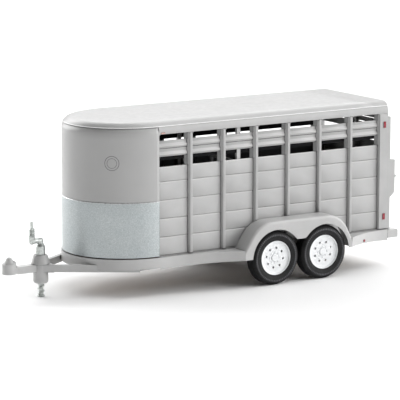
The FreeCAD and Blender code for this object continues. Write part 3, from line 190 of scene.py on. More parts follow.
def dress(obj, materials, sheet=0, bevel=0, segments=2, sharp=35):
    """Materials, sheet thickness, rounded edges and smooth shading for one object."""
    mesh = obj.data
    mesh.materials.clear()
    for material in materials:
        mesh.materials.append(material)
    mesh.shade_smooth()
    mesh.set_sharp_from_angle(angle=math.radians(sharp))
    if sheet:
        solid = obj.modifiers.new("sheet", "SOLIDIFY")
        solid.thickness = sheet
        solid.offset = -1
        solid.use_even_offset = True
        # The inner side of a sheet takes the last material: in the shells, the near-black paint
        # standing for painted shade inside.
        solid.material_offset = len(materials) - 1
    if bevel:
        edge = obj.modifiers.new("edges", "BEVEL")
        edge.width = bevel
        edge.segments = segments
        edge.limit_method = "ANGLE"
        edge.angle_limit = math.radians(sharp)
        edge.harden_normals = True
        edge.use_clamp_overlap = True


def shade_inside_faces(obj):
    """Give the faces that look at the centreline the second material, the near-black paint that
    stands for painted shade inside the body.
    """
    for face in obj.data.polygons:
        if face.center.y * face.normal.y < -0.6 * abs(face.center.y):
            face.material_index = 1


def paint_upward_highlights(obj):
    """Give the outer faces that lean upwards the third material, a paler paint that stands for a
    painted highlight from the light above.
    """
    for face in obj.data.polygons:
        if 0.3 < face.normal.z < 0.95 and face.center.y * face.normal.y > 0:
            face.material_index = 2


def arc(centre, radius, start, end, steps):
    """Points (u, v) on an arc, angles in degrees."""
    points = []
    for step in range(steps + 1):
        angle = math.radians(start + (end - start) * step / steps)
        points.append((centre[0] + radius * math.cos(angle), centre[1] + radius * math.sin(angle)))
    return points


def hoop(centre, out, radius, steps):
    """A ring of points about a level path; out is the level direction away from the body."""
    points = []
    for step in range(steps):
        angle = 2 * math.pi * step / steps
        rise = Vector((0, 0, radius * math.sin(angle)))
        points.append(centre + out * radius * math.cos(angle) + rise)
    return points


def rounded(u_low, u_high, v_low, v_high, radii, steps=5):
    """A rectangle's outline with four corner radii, from the lower left round to the upper left."""
    corners = [(u_low, v_low, 180), (u_high, v_low, 270), (u_high, v_high, 0), (u_low, v_high, 90)]
    points = []
    for (u, v, start), radius in zip(corners, radii):
        inner_u = u + radius if u == u_low else u - radius
        inner_v = v + radius if v == v_low else v - radius
        points += arc((inner_u, inner_v), radius, start, start + 90, steps)
    return points


# ---------------------------------------------------------------- materials


def shader(name, colour, roughness, metallic=0.0, coat=0.0):
    """A new material with its main shader; returns the material, node tree and shader."""
    material = bpy.data.materials.new(name)
    material.use_nodes = True
    tree = material.node_tree
    main = tree.nodes["Principled BSDF"]
    main.inputs["Base Color"].default_value = (*colour, 1)
    main.inputs["Roughness"].default_value = roughness
    main.inputs["Metallic"].default_value = metallic
    main.inputs["Coat Weight"].default_value = coat
    return material, tree, main


def noise(tree, scale, detail=3.0, stretch=(1, 1, 1), roughness=0.5):
    """Noise over the object's own metres."""
    place = tree.nodes.new("ShaderNodeTexCoord")
    mapping = tree.nodes.new("ShaderNodeMapping")
    mapping.inputs["Scale"].default_value = stretch
    texture = tree.nodes.new("ShaderNodeTexNoise")
    texture.inputs["Scale"].default_value = scale
    texture.inputs["Detail"].default_value = detail
    texture.inputs["Roughness"].default_value = roughness
    tree.links.new(place.outputs["Object"], mapping.inputs["Vector"])
    tree.links.new(mapping.outputs["Vector"], texture.inputs["Vector"])
    return texture.outputs["Fac"]


def ramp(tree, value, stops):
    """Colour ramp from (position, colour) stops."""
    node = tree.nodes.new("ShaderNodeValToRGB")
    elements = node.color_ramp.elements
    while len(elements) < len(stops):
        elements.new(0.5)
    for element, (position, colour) in zip(elements, stops):
        element.position = position
        element.color = (*colour, 1)
    tree.links.new(value, node.inputs["Fac"])
    return node.outputs["Color"]


def mix_colours(tree, amount, under, over, mode="MIX"):
    """Mix two colour sockets or colours."""
    node = tree.nodes.new("ShaderNodeMix")
    node.data_type = "RGBA"
    node.blend_type = mode
    sockets = (node.inputs[0], node.inputs[6], node.inputs[7])
    for socket, value in zip(sockets, (amount, under, over)):
        if isinstance(value, (int, float)):
            socket.default_value = value
        elif isinstance(value, tuple):
            socket.default_value = (*value, 1)
        else:
            tree.links.new(value, socket)
    return node.outputs[2]


def bump(tree, main, height, strength, distance):
    """Bump the shader's normal by a height socket."""
    node = tree.nodes.new("ShaderNodeBump")
    node.inputs["Strength"].default_value = strength
    node.inputs["Distance"].default_value = distance
    tree.links.new(height, node.inputs["Height"])
    tree.links.new(node.outputs["Normal"], main.inputs["Normal"])


def hollows(tree, reach):
    """Ambient occlusion: 1 in the open, lower in grooves; it paints shade into colours."""
    node = tree.nodes.new("ShaderNodeAmbientOcclusion")
    node.samples = 6
    node.inputs["Distance"].default_value = reach
    return node.outputs["AO"]


def vary_roughness(tree, main, scale, smoothest, roughest):
    """Let the roughness drift between two values over the surface."""
    level = ramp(tree, noise(tree, scale, 3), [(0.3, (smoothest,) * 3), (0.7, (roughest,) * 3)])
    tree.links.new(level, main.inputs["Roughness"])


def paint(name, colour, roughness=0.42, groove=0.55, variation=0.05, reach=0.03):
    """Sprayed paint: slight tone drift, orange peel, and painted shade that darkens grooves and
    recesses towards groove times the colour.
    """
    material, tree, main = shader(name, colour, roughness, coat=0.12)
    main.inputs["Coat Roughness"].default_value = 0.25
    shade = tuple(channel * (1 - variation) for channel in colour)
    tint = tuple(min(1.0, channel * (1 + variation)) for channel in colour)
    drift = ramp(tree, noise(tree, 2.3, 4), [(0.35, shade), (0.65, tint)])
    # Painted shade: where ambient occlusion finds a recess, the colour falls towards groove times
    # itself.
    groove_shade_tone = tuple(channel * groove for channel in colour)
    openness = ramp(tree, hollows(tree, reach), [(0.45, groove_shade_tone), (0.85, (1, 1, 1))])
    tone_with_groove_shade = mix_colours(tree, 1.0, drift, openness, "MULTIPLY")
    tree.links.new(tone_with_groove_shade, main.inputs["Base Color"])
    vary_roughness(tree, main, 14, roughness - 0.05, roughness + 0.07)
    bump(tree, main, noise(tree, 260, 2), 0.05, 0.0006)
    return material


def speckled_metal(name):
    """Bright sheet with a fine sparkling grain."""
    material, tree, main = shader(name, (0.46, 0.49, 0.495), 0.38, metallic=0.6)
    grain = ramp(tree, noise(tree, 90, 6, roughness=0.8),
                 [(0.34, (0.30, 0.33, 0.335)), (0.5, (0.45, 0.485, 0.49)),
                  (0.66, (0.66, 0.69, 0.69))])
    drift = ramp(tree, noise(tree, 3, 3), [(0.3, (0.93, 0.94, 0.95)), (0.7, (1, 1, 1))])
    tree.links.new(mix_colours(tree, 1.0, grain, drift, "MULTIPLY"), main.inputs["Base Color"])
    vary_roughness(tree, main, 120, 0.30, 0.52)
    bump(tree, main, noise(tree, 240, 4, roughness=0.8), 0.25, 0.0012)
    return material


def zinc(name, colour=(0.62, 0.65, 0.63)):
    """Plated cast metal with soft pits, and painted shade darkening its recesses."""
    material, tree, main = shader(name, colour, 0.34, metallic=0.85)
    dark = tuple(channel * 0.62 for channel in colour)
    tone = ramp(tree, noise(tree, 45, 5), [(0.32, dark), (0.6, colour)])
    # Painted shade: darker where ambient occlusion finds recesses.
    openness = ramp(tree, hollows(tree, 0.02), [(0.3, (0.35, 0.36, 0.36)), (0.8, (1, 1, 1))])
    tree.links.new(mix_colours(tree, 1.0, tone, openness, "MULTIPLY"), main.inputs["Base Color"])
    vary_roughness(tree, main, 60, 0.26, 0.48)
    bump(tree, main, noise(tree, 130, 4), 0.25, 0.0015)
    return material


def rubber(name, tone_scale=1.0):
    """Tyre rubber: near black with random tone drift, scaled paler by the factor given."""
    material, tree, main = shader(name, (0.012, 0.012, 0.013), 0.7)
    main.inputs["Specular IOR Level"].default_value = 0.3
    tone = ramp(tree, noise(tree, 9, 5), [(0.3, (0.005 * tone_scale, 0.005 * tone_scale, 0.0055 * tone_scale)),
                                          (0.75, (0.010 * tone_scale, 0.010 * tone_scale, 0.0108 * tone_scale))])
    tree.links.new(tone, main.inputs["Base Color"])
    vary_roughness(tree, main, 30, 0.52, 0.74)
    bump(tree, main, noise(tree, 420, 3), 0.18, 0.0008)
    return material


def timber(name):
    """Sawn planks with grain along X and tone that differs across."""
    material, tree, main = shader(name, (0.25, 0.18, 0.11), 0.75)
    grain = noise(tree, 6, 6, stretch=(0.5, 14, 14), roughness=0.65)
    tone = ramp(tree, grain, [(0.3, (0.13, 0.09, 0.055)), (0.55, (0.27, 0.19, 0.12)),
                              (0.75, (0.40, 0.30, 0.20))])
    boards = ramp(tree, noise(tree, 1.0, 1, stretch=(0.15, 5.2, 1)),
                  [(0.35, (0.72, 0.7, 0.68)), (0.65, (1, 1, 1))])
    tree.links.new(mix_colours(tree, 1.0, tone, boards, "MULTIPLY"), main.inputs["Base Color"])
    bump(tree, main, grain, 0.4, 0.002)
    return material


def lens(name, colour, clear=0.15):
    """Moulded lamp lens with fine vertical flutes."""
    material, tree, main = shader(name, colour, 0.16, coat=0.6)
    main.inputs["Transmission Weight"].default_value = clear
    deep = tuple(channel * 0.45 for channel in colour)
    tone = ramp(tree, noise(tree, 60, 2), [(0.3, deep), (0.7, colour)])
    tree.links.new(tone, main.inputs["Base Color"])
    bump(tree, main, noise(tree, 300, 1, stretch=(1, 1, 0.05)), 0.3, 0.001)
    return material


def shade_board(name):
    """Dull black board that hardly shines, used as painted shade."""
    material, tree, main = shader(name, (0.006, 0.006, 0.007), 0.9)
    main.inputs["Specular IOR Level"].default_value = 0.15
    tone = ramp(tree, noise(tree, 12, 4), [(0.3, (0.004, 0.004, 0.005)),
                                           (0.7, (0.009, 0.009, 0.01))])
    tree.links.new(tone, main.inputs["Base Color"])
    return material


BODY_GREY = (0.425, 0.424, 0.422)
body_paint = paint("body_grey_paint", BODY_GREY)
plank_paint = paint("plank_grey_paint", BODY_GREY, groove=0.6, reach=0.008)
# Paler grey on upward-leaning plank and slat faces: painted highlight.
upward_highlight_paint = paint("upward_highlight_grey_paint", (0.56, 0.558, 0.555), groove=0.7, reach=0.006)
# Dark grey for the post returns: painted shade.
return_shade_paint = paint("return_shade_grey_paint", (0.19, 0.19, 0.19), groove=0.5)
shell_paint = paint("shell_grey_paint", (0.405, 0.404, 0.402), roughness=0.36, groove=0.92,
                    variation=0.02)
# Pale grey for the drip bead: painted highlight.
bead_highlight_paint = paint("bead_highlight_grey_paint", (0.80, 0.80, 0.80), roughness=0.25, groove=0.95,
                     variation=0.02)
# Lighter copy of the body grey on the frame, tongue, fenders, skirt and jack: painted light, since
# they carry the same paint.
lit_frame_paint = paint("frame_lit_grey_paint", (0.478, 0.477, 0.474), groove=0.6)
# Near-black paint for the inside faces and roof bows: painted shade for the dim interior.
inside_shade_paint = paint("inside_shade_black_paint", (0.012, 0.012, 0.013), roughness=0.6, groove=0.8,
                    variation=0.25)
shade_board_black = shade_board("shade_board_black")
chassis_paint = paint("chassis_black_paint", (0.035, 0.035, 0.036), roughness=0.5, variation=0.3)
wheel_paint = paint("wheel_white_enamel", (0.86, 0.875, 0.885), roughness=0.3, groove=0.93,
                    variation=0.01)
badge_paint = paint("badge_dark_paint", (0.13, 0.13, 0.13), variation=0.1)
guard_metal = speckled_metal("stone_guard_metal")
jack_zinc = zinc("jack_zinc")
# Pale steel for the stone guard lip: painted highlight.
lip_highlight_steel = zinc("nut_steel", (0.74, 0.75, 0.76))
tyre_rubber = rubber("tyre_rubber")
# Much paler rubber for the sidewall ticks: painted highlight.
tick_highlight_rubber = rubber("tyre_rubber_tick_highlight", 13.0)
plank_wood = timber("floor_timber")
red_lens = lens("red_lens", (0.42, 0.012, 0.03))
amber_lens = lens("amber_lens", (0.90, 0.55, 0.48))

# ---------------------------------------------------------------- body shell


def cove_inset(level):
    """How far the coved roof edge has drawn in at a height."""
    rise = (level - COVE_BASE) / COVE
    return COVE * (1 - math.sqrt(max(0, 1 - min(1, rise) ** 2))) if rise > 0 else 0


def nose_spot(turn, level):
    """Point and level outward normal on the half-elliptic nose; turn 90 degrees is the left."""
    spot = Vector((NOSE_JOINT + NOSE_DEPTH * math.cos(turn), HALF * math.sin(turn), level))
    normal = Vector((math.cos(turn) / NOSE_DEPTH, math.sin(turn) / HALF, 0)).normalized()
    return spot, normal


def nose_line(grow, level, steps=72):
    """The nose at one height, from the left joint to the right one, drawn in by the cove."""
    inset = cove_inset(level) - grow
    points = []
    for step in range(steps + 1):
        spot, normal = nose_spot(math.pi / 2 - math.pi * step / steps, level)
        points.append(spot - normal * inset)
    return points


def body_line(grow, level):
    """The whole side and nose line at one height, from the left rear corner to the right one."""
    nose = nose_line(grow, level)
    side_y = nose[0].y
    xs = [REAR + (NOSE_JOINT - REAR) * step / 8 for step in range(8)]
    left = [Vector((x, side_y, level)) for x in xs]
    right = [Vector((x, -side_y, level)) for x in reversed(xs)]
    return left + nose + right


def levels(bottom, top, steps):
    """Evenly spaced heights from bottom to top, both included."""
    return [bottom + (top - bottom) * step / steps for step in range(steps + 1)]


def nose_shell():
    """Painted nose sheet up to the drip bead."""
    shape = Shape()
    shape.loft([nose_line(0, level) for level in levels(WALL_BASE, DRIP, 24)],
               closed=False, caps=False)
    shape.piece("nose_shell", "trailer", [shell_paint, inside_shade_paint], ["nose_skin"],
                sheet=SHEET, facing=INSIDE)


def stone_guard():
    """Bright sheet round the lower nose with a folded top edge, and a rolled lip along it in pale
    steel as a painted highlight.
    """
    shape = Shape()
    proud = GUARD_PROUD
    profile = [(proud * 0.2, WALL_BASE), (proud, WALL_BASE + 0.004), (proud, GUARD_TOP - 0.012),
               (proud * 0.9, GUARD_TOP - 0.008), (proud, GUARD_TOP - 0.004),
               (proud * 0.2, GUARD_TOP)]
    rings = [nose_line(grow, level, 96) for grow, level in profile]
    for level in levels(WALL_BASE + 0.004, GUARD_TOP - 0.012, 6)[1:-1][::-1]:
        rings.insert(2, nose_line(proud, level, 96))
    shape.loft(rings, closed=False, caps=False)
    shape.piece("stone_guard_sheet", "trailer", [guard_metal], ["stone_guard"],
                sheet=0.002, facing=INSIDE, sharp=25)
    lip = Shape()
    rings = []
    for spot in nose_line(proud, GUARD_TOP - 0.002, 96):
        out = Vector((spot.x - NOSE_JOINT, spot.y, 0)).normalized()
        rings.append(hoop(spot, out, GUARD_LIP_RADIUS, 8))
    lip.loft(rings)
    lip.piece("stone_guard_lip", "trailer", [lip_highlight_steel])


def roof():
    """Roof skin with its coved edge, and the rolled bead along the drip edge in pale paint as a
    painted highlight.
    """
    shape = Shape()
    start = math.degrees(math.asin((DRIP - COVE_BASE) / COVE))
    rings = []
    for degrees in levels(start, 90, 14):
        height = COVE_BASE + COVE * math.sin(math.radians(degrees))
        line = body_line(SHEET, height)
        lift = SHEET * (height - COVE_BASE) / COVE
        rings.append([Vector((spot.x, spot.y, spot.z + lift)) for spot in line])
    shape.loft(rings, closed=False, caps=False)
    crown = rings[-1]
    half = len(crown) // 2
    rows = []
    for left, right in zip(crown[:half], crown[::-1][:half]):
        rows.append([left.lerp(right, step / 6) for step in range(7)])
    rows.append([crown[half]] * 7)
    shape.loft(rows, closed=False, caps=False)
    shape.piece("roof_skin", "trailer", [shell_paint, inside_shade_paint], ["roof_shell"],
                sheet=SHEET, facing=INSIDE, sharp=50)
    bead = Shape()
    path = body_line(SHEET - 0.0015, DRIP + BEAD_RISE)
    rings = []
    for index, spot in enumerate(path):
        ahead = path[min(index + 1, len(path) - 1)] - path[max(index - 1, 0)]
        out = Vector((ahead.y, -ahead.x, 0)).normalized()
        if out.dot(spot - INSIDE) < 0:
            out = -out
        rings.append(hoop(spot, out, BEAD_RADIUS, 12))
    bead.loft(rings)
    bead.piece("roof_drip_bead", "trailer", [bead_highlight_paint])


def top_rails():
    """Coved rails over the side openings, with a flange below, and the header at the rear."""
    shape = Shape()
    coved = [(HALF - cove_inset(level), level) for level in levels(COVE_BASE, DRIP, 8)]
    outer = [(HALF - POST, WINDOW_TOP + 0.001), (HALF - 0.004, WINDOW_TOP + 0.001),
             (HALF - 0.001, WINDOW_TOP + 0.002), (HALF, WINDOW_TOP + 0.006)] + coved
    inner = [(y - SHEET, z) for y, z in reversed(coved)]
    inner += [(HALF - SHEET, WINDOW_TOP + 0.004), (HALF - POST, WINDOW_TOP + 0.004)]
    shape.loft([[(x, y, z) for y, z in outer + inner] for x in (REAR, NOSE_JOINT)])
    shape.mirror()
    obj = shape.piece("top_side_rails", "trailer", [body_paint, inside_shade_paint],
                      ["top_rails"], sharp=50)
    shade_inside_faces(obj)
    header = Shape()
    outer = [(HALF - 0.052, HEADER_BASE), (HALF - 0.052, WINDOW_TOP + 0.005),
             (HALF - 0.004, WINDOW_TOP + 0.005)]
    outer += arc((HALF - COVE, COVE_BASE), COVE - 0.004, 0, 90, 12)
    ring = outer + [(-y, z) for y, z in reversed(outer)]
    header.loft([[(x, y, z) for y, z in ring] for x in (REAR, REAR + 0.006)])
    header.piece("rear_header", "trailer", [body_paint], bevel=0.0015)


def openings():
    """Clear X range of each side bay, from the nose backwards."""
    spans = []
    for index in range(BAYS):
        start = NOSE_JOINT - index * PITCH
        end = start - PITCH + POST
        if index == BAYS - 1:
            end = PANEL_REAR
        spans.append((end, start))
    return spans


def window_corners():
    """Small fillets in the upper corners of the side openings, as the pressed frame has."""
    shape = Shape()
    for x_low, x_high in openings():
        for corner, direction in ((x_low, 1), (x_high, -1)):
            bend = arc((corner + direction * CORNER, WINDOW_TOP - CORNER), CORNER,
                       180 if direction > 0 else 0, 90, 6)
            outline = [(corner, WINDOW_TOP)] + bend
            shape.loft([[(x, y, z) for x, z in outline]
                        for y in (HALF - FILLET_DEPTH, HALF - 0.0012)])
    shape.mirror()
    shape.piece("window_corner_fillets", "trailer", [body_paint])


def side_posts():
    """Square tube posts with rolled edges, and the end posts, one with a pocket for the latch."""
    shape = Shape()
    for index in range(BAYS - 1):
        start = NOSE_JOINT - (index + 1) * PITCH
        shape.block((start, HALF - POST, WALL_BASE), (start + POST, HALF, WINDOW_TOP))
    shape.mirror()
    obj = shape.piece("side_post_tubes", "trailer", [body_paint, inside_shade_paint],
                      ["side_posts"], bevel=0.013, segments=5)
    shade_inside_faces(obj)
    ends = Shape()
    ends.block((NOSE_JOINT + 0.001, HALF - 0.048, WALL_BASE),
               (NOSE_JOINT + POST, HALF - 0.006, WINDOW_TOP))
    ends.mirror()
    inner = HALF - POST
    plunger_low, plunger_high = low("gate_latch_plunger"), high("gate_latch_plunger")
    latch_side = 1 if plunger_low.y + plunger_high.y > 0 else -1
    y_low, y_high = abs(plunger_low.y) - 0.002, abs(plunger_high.y) + 0.002
    z_low, z_high = plunger_low.z - 0.003, plunger_high.z + 0.003
    for _, sign in SIDES:
        pocket = LATCH_POCKET if sign == latch_side else 0
        rings = []
        for level, depth in ((WALL_BASE, 0), (z_low, 0), (z_low, pocket),
                             (z_high, pocket), (z_high, 0), (WINDOW_TOP, 0)):
            plan = [(REAR, inner), (PANEL_REAR, inner), (PANEL_REAR, HALF), (REAR, HALF),
                    (REAR, y_high), (REAR + depth, y_high), (REAR + depth, y_low), (REAR, y_low)]
            rings.append([(x, y * sign, level) for x, y in plan])
        ends.loft(rings)
    obj = ends.piece("end_post_tubes", "trailer", [body_paint, inside_shade_paint],
                     ["end_posts"], bevel=0.010, segments=5)
    shade_inside_faces(obj)


def post_reveals():
    """Sloped returns from each post face down to the recessed planks."""
    shape = Shape()
    deep = HALF - 0.056
    for z_low, z_high, rearward in REVEALS:
        for x_low, x_high in openings():
            for corner, run in ((x_low, rearward), (x_high, FORWARD_REVEAL)):
                outline = [(corner, HALF - 0.0125), (corner + run * 0.16, HALF - 0.0150),
                           (corner + run * 0.84, HALF - 0.0440),
                           (corner + run * 0.94, HALF - 0.0475), (corner + run, deep),
                           (corner, deep)]
                shape.loft([[(x, y, z) for x, y in outline] for z in (z_low, z_high)])
    shape.mirror()
    obj = shape.piece("post_reveals", "trailer", [body_paint, inside_shade_paint],
                      sharp=50)
    shade_inside_faces(obj)


def window_returns():
    """Inner returns of the posts beside each gap above the planks, in dark grey as painted shade.
    """
    shape = Shape()
    for z_low, z_high in ((PANEL_TOP, SLAT_BASE), (SLAT_TOP, OPENING_TOP)):
        for x_low, _ in openings():
            outline = [(x_low + SLAT_REVEAL - 0.006, HALF - 0.036), (x_low + 0.034, HALF - 0.044),
                       (x_low + 0.062, HALF - 0.056), (x_low + 0.066, HALF - 0.062),
                       (x_low + SLAT_REVEAL - 0.006, HALF - 0.062)]
            shape.loft([[(x, y, z) for x, y in outline] for z in (z_low, z_high)])
    shape.mirror()
    shape.piece("window_returns", "trailer", [return_shade_paint], sharp=50)


def slat_shade_sheets():
    """Black strips behind the vent slats of both sides, put there as painted shade for the dark
    inside.
    """
    shape = Shape()
    face = HALF - 0.067
    shape.block((REAR + 0.055, face - 0.003, SHADE_SHEET_BASE),
                (NOSE_JOINT - 0.004, face, SLAT_TOP - 0.004))
    shape.mirror()
    shape.piece("slat_shade_sheets", "trailer", [shade_board_black], bevel=0.0008)


def plank(shape, x_low, x_high, z_low, z_high, face, back):
    """One raised plank of a formed panel: bevelled on top, tight below, ends rounded."""
    rings = []
    for rise, draw in ((0, 0.0), (0.25, 0.10), (0.6, 0.35), (0.86, 0.70), (1.0, 1.0)):
        side = 0.010 * draw
        outline = rounded(x_low + side, x_high - side, z_low + 0.004 * draw, z_high - 0.015 * draw,
                          (0.006, 0.006, 0.026, 0.026))
        depth = back + (face - back) * rise
        rings.append([(x, depth, z) for x, z in outline])
    shape.loft(rings)


def side_panels():
    """Planked side sheets of both sides, bay by bay."""
    back = PANEL_FACE - PLANK_RISE
    for side, sign in SIDES:
        shape = Shape()
        for x_low, x_high in openings():
            shape.block((x_low, back - 0.0028, PANEL_BASE), (x_high, back, PANEL_TOP - 0.002))
            for index in range(PLANKS):
                base = PANEL_BASE + index * PLANK_PITCH
                crest = min(base + PLANK_PITCH - 0.001, PANEL_TOP - 0.001)
                plank(shape, x_low + PLANK_REVEAL - 0.002, x_high - 0.001, base + 0.003, crest,
                      PANEL_FACE, back)
        shape.to_side(sign)
        obj = shape.piece(f"side_planking_{side}", "trailer",
                          [plank_paint, inside_shade_paint, upward_highlight_paint], [f"side_panels_{side}"], sharp=60)
        shade_inside_faces(obj)
        paint_upward_highlights(obj)


def vent_slats():
    """Pressed vent slats: a flat upper face, a groove and a bulging lower lip."""
    face = PANEL_FACE
    step = (SLAT_TOP - SLAT_BASE + 0.005) / 2
    deep = face - 0.009
    for side, sign in SIDES:
        shape = Shape()
        for x_low, x_high in openings():
            for layer in range(2):
                base = SLAT_BASE + layer * step
                front = [(deep, base + 0.002), (face + 0.006, base + 0.018),
                         (face + 0.014, base + 0.026), (face + 0.016, base + 0.034),
                         (face + 0.013, base + 0.041), (deep + 0.003, base + 0.066),
                         (deep, base + 0.072), (deep, base + step - 0.020),
                         (deep + 0.003, base + step - 0.016), (deep + 0.002, base + step - 0.008),
                         (deep - 0.003, base + step - 0.005)]
                back = [(deep - 0.011, base + step - 0.006), (deep - 0.011, base + 0.002)]
                outline = front + back
                rings = []
                near_end = x_low + SLAT_REVEAL
                for x, pinch in ((near_end - 0.004, 0.014), (near_end + 0.002, 0.007),
                                 (near_end + 0.010, 0.002), (near_end + 0.018, 0.0),
                                 (x_high - 0.012, 0.0), (x_high - 0.004, 0.004), (x_high, 0.010)):
                    rings.append([(x, y if y < deep - 0.01 else max(y - pinch, deep - 0.006), z)
                                  for y, z in outline])
                shape.loft(rings)
        shape.to_side(sign)
        obj = shape.piece(f"pressed_slats_{side}", "trailer",
                          [plank_paint, inside_shade_paint, upward_highlight_paint], [f"vent_slats_{side}"], sharp=28)
        shade_inside_faces(obj)
        paint_upward_highlights(obj)


def nose_badge():
    """A plain badge of two thin concentric rings on the nose."""
    shape = Shape()
    turn = math.atan2(BADGE_Y / HALF, (BADGE_X - NOSE_JOINT) / NOSE_DEPTH)
    travel = math.hypot(NOSE_DEPTH * math.sin(turn), HALF * math.cos(turn))
    for radius, width in BADGE_RINGS:
        rings = []
        for step in range(72):
            angle = 2 * math.pi * step / 72
            ring = []
            for across, proud in ((-width, -0.001), (-width * 0.6, 0.0016),
                                  (width * 0.6, 0.0016), (width, -0.001)):
                reach = radius + across
                around = turn + reach * math.cos(angle) / travel
                spot, normal = nose_spot(around, BADGE_Z + reach * math.sin(angle))
                ring.append(spot + normal * proud)
            rings.append(ring)
        rings.append(rings[0])
        shape.loft(rings, caps=False)
    shape.piece("nose_badge_rings", "trailer", [badge_paint])


def tyre(corner, side):
    """Tyre with grooved tread, toothed shoulders, and pale ticks round the sidewall as painted
    highlights.
    """
    node = f"tyre_{corner}"
    middle = (low(node) + high(node)) / 2
    radius = (high(node).z - low(node).z) / 2
    half = (high(node).y - low(node).y) / 2
    flange = (high(f"wheel_rim_{corner}").z - low(f"wheel_rim_{corner}").z) / 2
    section = [(0.076, flange - 0.012, 0), (0.0985, flange - 0.004, 0), (0.1015, flange + 0.002, 0),
               (0.1015, flange + 0.010, 0), (0.1055, flange + 0.022, 0),
               (0.1105, flange + 0.050, 0),
               (half, flange + 0.072, 0), (half - 0.001, radius - 0.048, 0),
               (half - 0.0065, radius - 0.034, 0), (half - 0.0075, radius - 0.032, 1),
               (half - 0.017, radius - 0.0185, 1), (half - 0.030, radius - 0.0085, 1),
               (half - 0.032, radius - 0.0075, 0), (half - 0.046, radius - 0.002, 0)]
    for groove in (0.054, 0.018):
        section += [(groove + 0.005, radius, 0), (groove + 0.004, radius - 0.009, 0),
                    (groove - 0.004, radius - 0.009, 0), (groove - 0.005, radius, 0)]
    section += [(-offset, reach, tooth) for offset, reach, tooth in reversed(section)]
    section += [(-0.066, flange - 0.009, 0), (-0.092, 0.290, 0), (-0.099, 0.345, 0),
                (-0.080, 0.380, 0), (0.080, 0.380, 0), (0.099, 0.345, 0), (0.092, 0.290, 0),
                (0.066, flange - 0.009, 0)]
    rings = []
    steps = TREAD_TEETH * 4
    for step in range(steps):
        angle = 2 * math.pi * step / steps
        sunk = TOOTH_DEPTH if step % 4 in (0, 1) else 0
        spoke = Vector((math.sin(angle), 0, math.cos(angle)))
        rings.append([middle + spoke * (reach - sunk * tooth) + Vector((0, offset * side, 0))
                      for offset, reach, tooth in section])
    rings.append(rings[0])
    shape = Shape()
    shape.loft(rings, caps=False)
    obj = shape.piece(f"ribbed_tyre_{corner}", f"wheel_{corner}",
                      [tyre_rubber, tick_highlight_rubber], [node], sharp=40)
    # Sidewall ticks take the paler rubber: painted highlight.
    for face in obj.data.polygons:
        spoke = face.center - middle
        reach = math.hypot(spoke.x, spoke.z)
        turn = math.atan2(spoke.x, spoke.z) / (2 * math.pi) * TREAD_TEETH % 1
        if turn > 0.5 and flange + 0.073 < reach < radius - 0.049:
            face.material_index = 1


nose_shell()
nose_badge()
stone_guard()
for wheel_corner in CORNERS:
    tyre(wheel_corner, 1 if "left" in wheel_corner else -1)
roof()
top_rails()
window_corners()
side_posts()
post_reveals()
window_returns()
slat_shade_sheets()
side_panels()
vent_slats()

# ---------------------------------------------------------------- carried CAD nodes

# Node: its material and the width of its rounded edges.
CARRIED = {
    "main_rails": (chassis_paint, 0.003), "cross_members": (chassis_paint, 0.002),
    "tongue_beams": (lit_frame_paint, 0.006), "tongue_plates": (lit_frame_paint, 0.002),
    "floor_planks": (plank_wood, 0.002), "bottom_rails": (body_paint, 0.002),
    "nose_skirt": (lit_frame_paint, 0), "front_running_boards": (lit_frame_paint, 0),
    "rear_running_boards": (lit_frame_paint, 0), "fenders": (lit_frame_paint, 0),
    # The roof bows take the near-black paint: painted shade under the roof.
    "roof_bows": (inside_shade_paint, 0.001), "rear_bumper": (lit_frame_paint, 0.012),
    "red_marker_lamps": (red_lens, 0.002), "amber_marker_lamps": (amber_lens, 0.002),
    "tail_lamps": (red_lens, 0.003), "axle_tubes": (chassis_paint, 0.002),
    "coupler": (lit_frame_paint, 0.003), "coupler_latch": (lit_frame_paint, 0.002),
    "jack_housing": (lit_frame_paint, 0.002), "jack_screw": (jack_zinc, 0),
    "crank_grip": (jack_zinc, 0), "jack_foot": (jack_zinc, 0),
    "rear_gate_frame": (body_paint, 0.002),
    "rear_gate_panel": (body_paint, 0.001), "slide_gate": (body_paint, 0.001),
    "gate_latch_box": (body_paint, 0.002), "gate_latch_plunger": (jack_zinc, 0),
    "centre_gate": (body_paint, 0.002), "centre_gate_posts": (body_paint, 0.003),
    "hinge_pins": (body_paint, 0),
}
for wheel_corner in CORNERS:
    CARRIED[f"torsion_arm_{wheel_corner}"] = (chassis_paint, 0.002)
    CARRIED[f"wheel_rim_{wheel_corner}"] = (wheel_paint, 0)
    CARRIED[f"hub_{wheel_corner}"] = (wheel_paint, 0)
    CARRIED[f"wheel_nuts_{wheel_corner}"] = (wheel_paint, 0.002)
for name, (material, bevel) in CARRIED.items():
    dress(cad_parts[name], [material], bevel=bevel)

# ---------------------------------------------------------------- stage, light, camera


FLOOR_REACH = 60
SUN_SPREAD = 50
# Name, the direction it comes from, strength.
SUNS = (("overhead", (0, 0.15, 1), 0.36), ("right_bank", (0.3, -1, 0.45), 1.68),
        ("rear_bank", (-1, 0.4, 0.5), 1.06), ("rear_overhead", (-1, 0, 1.3), 0.76),
        ("left_rear_bank", (-0.9, 1, 0.3), 0.94), ("far_rear_bank", (-0.6, -1, 0.9), 0.97))
CAMERA_AZIMUTH, CAMERA_ELEVATION = 147.954, 10.342
CAMERA_DISTANCE = 36.07
CAMERA_AIM = Vector((-0.1645, 0, 1.148))
CAMERA_LENS, CAMERA_SENSOR = 217.8, 36


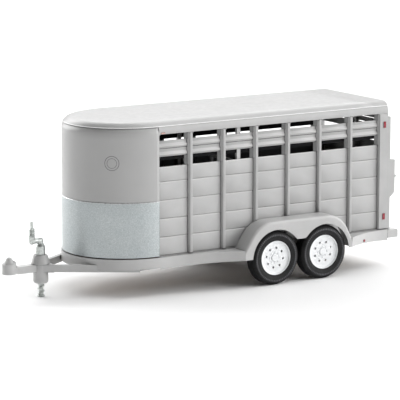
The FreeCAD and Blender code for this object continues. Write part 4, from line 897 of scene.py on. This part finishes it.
def floor():
    """Plain pale floor."""
    reach = FLOOR_REACH
    mesh = bpy.data.meshes.new("studio_floor")
    mesh.from_pydata([(-reach, -reach, 0), (reach, -reach, 0), (reach, reach, 0),
                      (-reach, reach, 0)], [], [[0, 1, 2, 3]])
    obj = bpy.data.objects.new("studio_floor", mesh)
    bpy.context.scene.collection.objects.link(obj)
    mesh.materials.append(shader("floor_white", (0.965, 0.965, 0.965), 0.9)[0])


def sun(name, towards, strength):
    """A broad soft light, given by the direction it comes from."""
    data = bpy.data.lights.new(name, "SUN")
    data.energy = strength * math.pi / 2
    data.angle = math.radians(SUN_SPREAD)
    obj = bpy.data.objects.new(name, data)
    obj.rotation_mode = "QUATERNION"
    obj.rotation_quaternion = (-Vector(towards)).to_track_quat("-Z", "Y")
    bpy.context.scene.collection.objects.link(obj)


def studio():
    """White backdrop that adds little light; soft lights from above, behind and both sides."""
    world = bpy.data.worlds.new("studio_white")
    world.use_nodes = True
    tree = world.node_tree
    sky = tree.nodes["Background"]
    ray = tree.nodes.new("ShaderNodeLightPath")
    tone = mix_colours(tree, ray.outputs["Is Camera Ray"], (0.05, 0.05, 0.05), (1.0, 1.0, 1.0))
    tree.links.new(tone, sky.inputs["Color"])
    sky.inputs["Strength"].default_value = 1.0
    bpy.context.scene.world = world
    for name, towards, strength in SUNS:
        sun(name, towards, strength)
    bpy.context.scene.view_settings.view_transform = "Standard"


def photo_camera():
    """The camera at the photographed angle."""
    azimuth, elevation = math.radians(CAMERA_AZIMUTH), math.radians(CAMERA_ELEVATION)
    back = Vector((math.sin(azimuth) * math.cos(elevation),
                   -math.cos(azimuth) * math.cos(elevation), math.sin(elevation)))
    data = bpy.data.cameras.new("photo_camera")
    data.lens = CAMERA_LENS
    data.sensor_width = CAMERA_SENSOR
    data.clip_end = 300
    camera = bpy.data.objects.new("photo_camera", data)
    camera.location = CAMERA_AIM + back * CAMERA_DISTANCE
    camera.rotation_mode = "QUATERNION"
    camera.rotation_quaternion = (-back).to_track_quat("-Z", "Y")
    bpy.context.scene.collection.objects.link(camera)
    bpy.context.scene.camera = camera


floor()
studio()
photo_camera()

# ---------------------------------------------------------------- finish

bpy.context.view_layer.update()
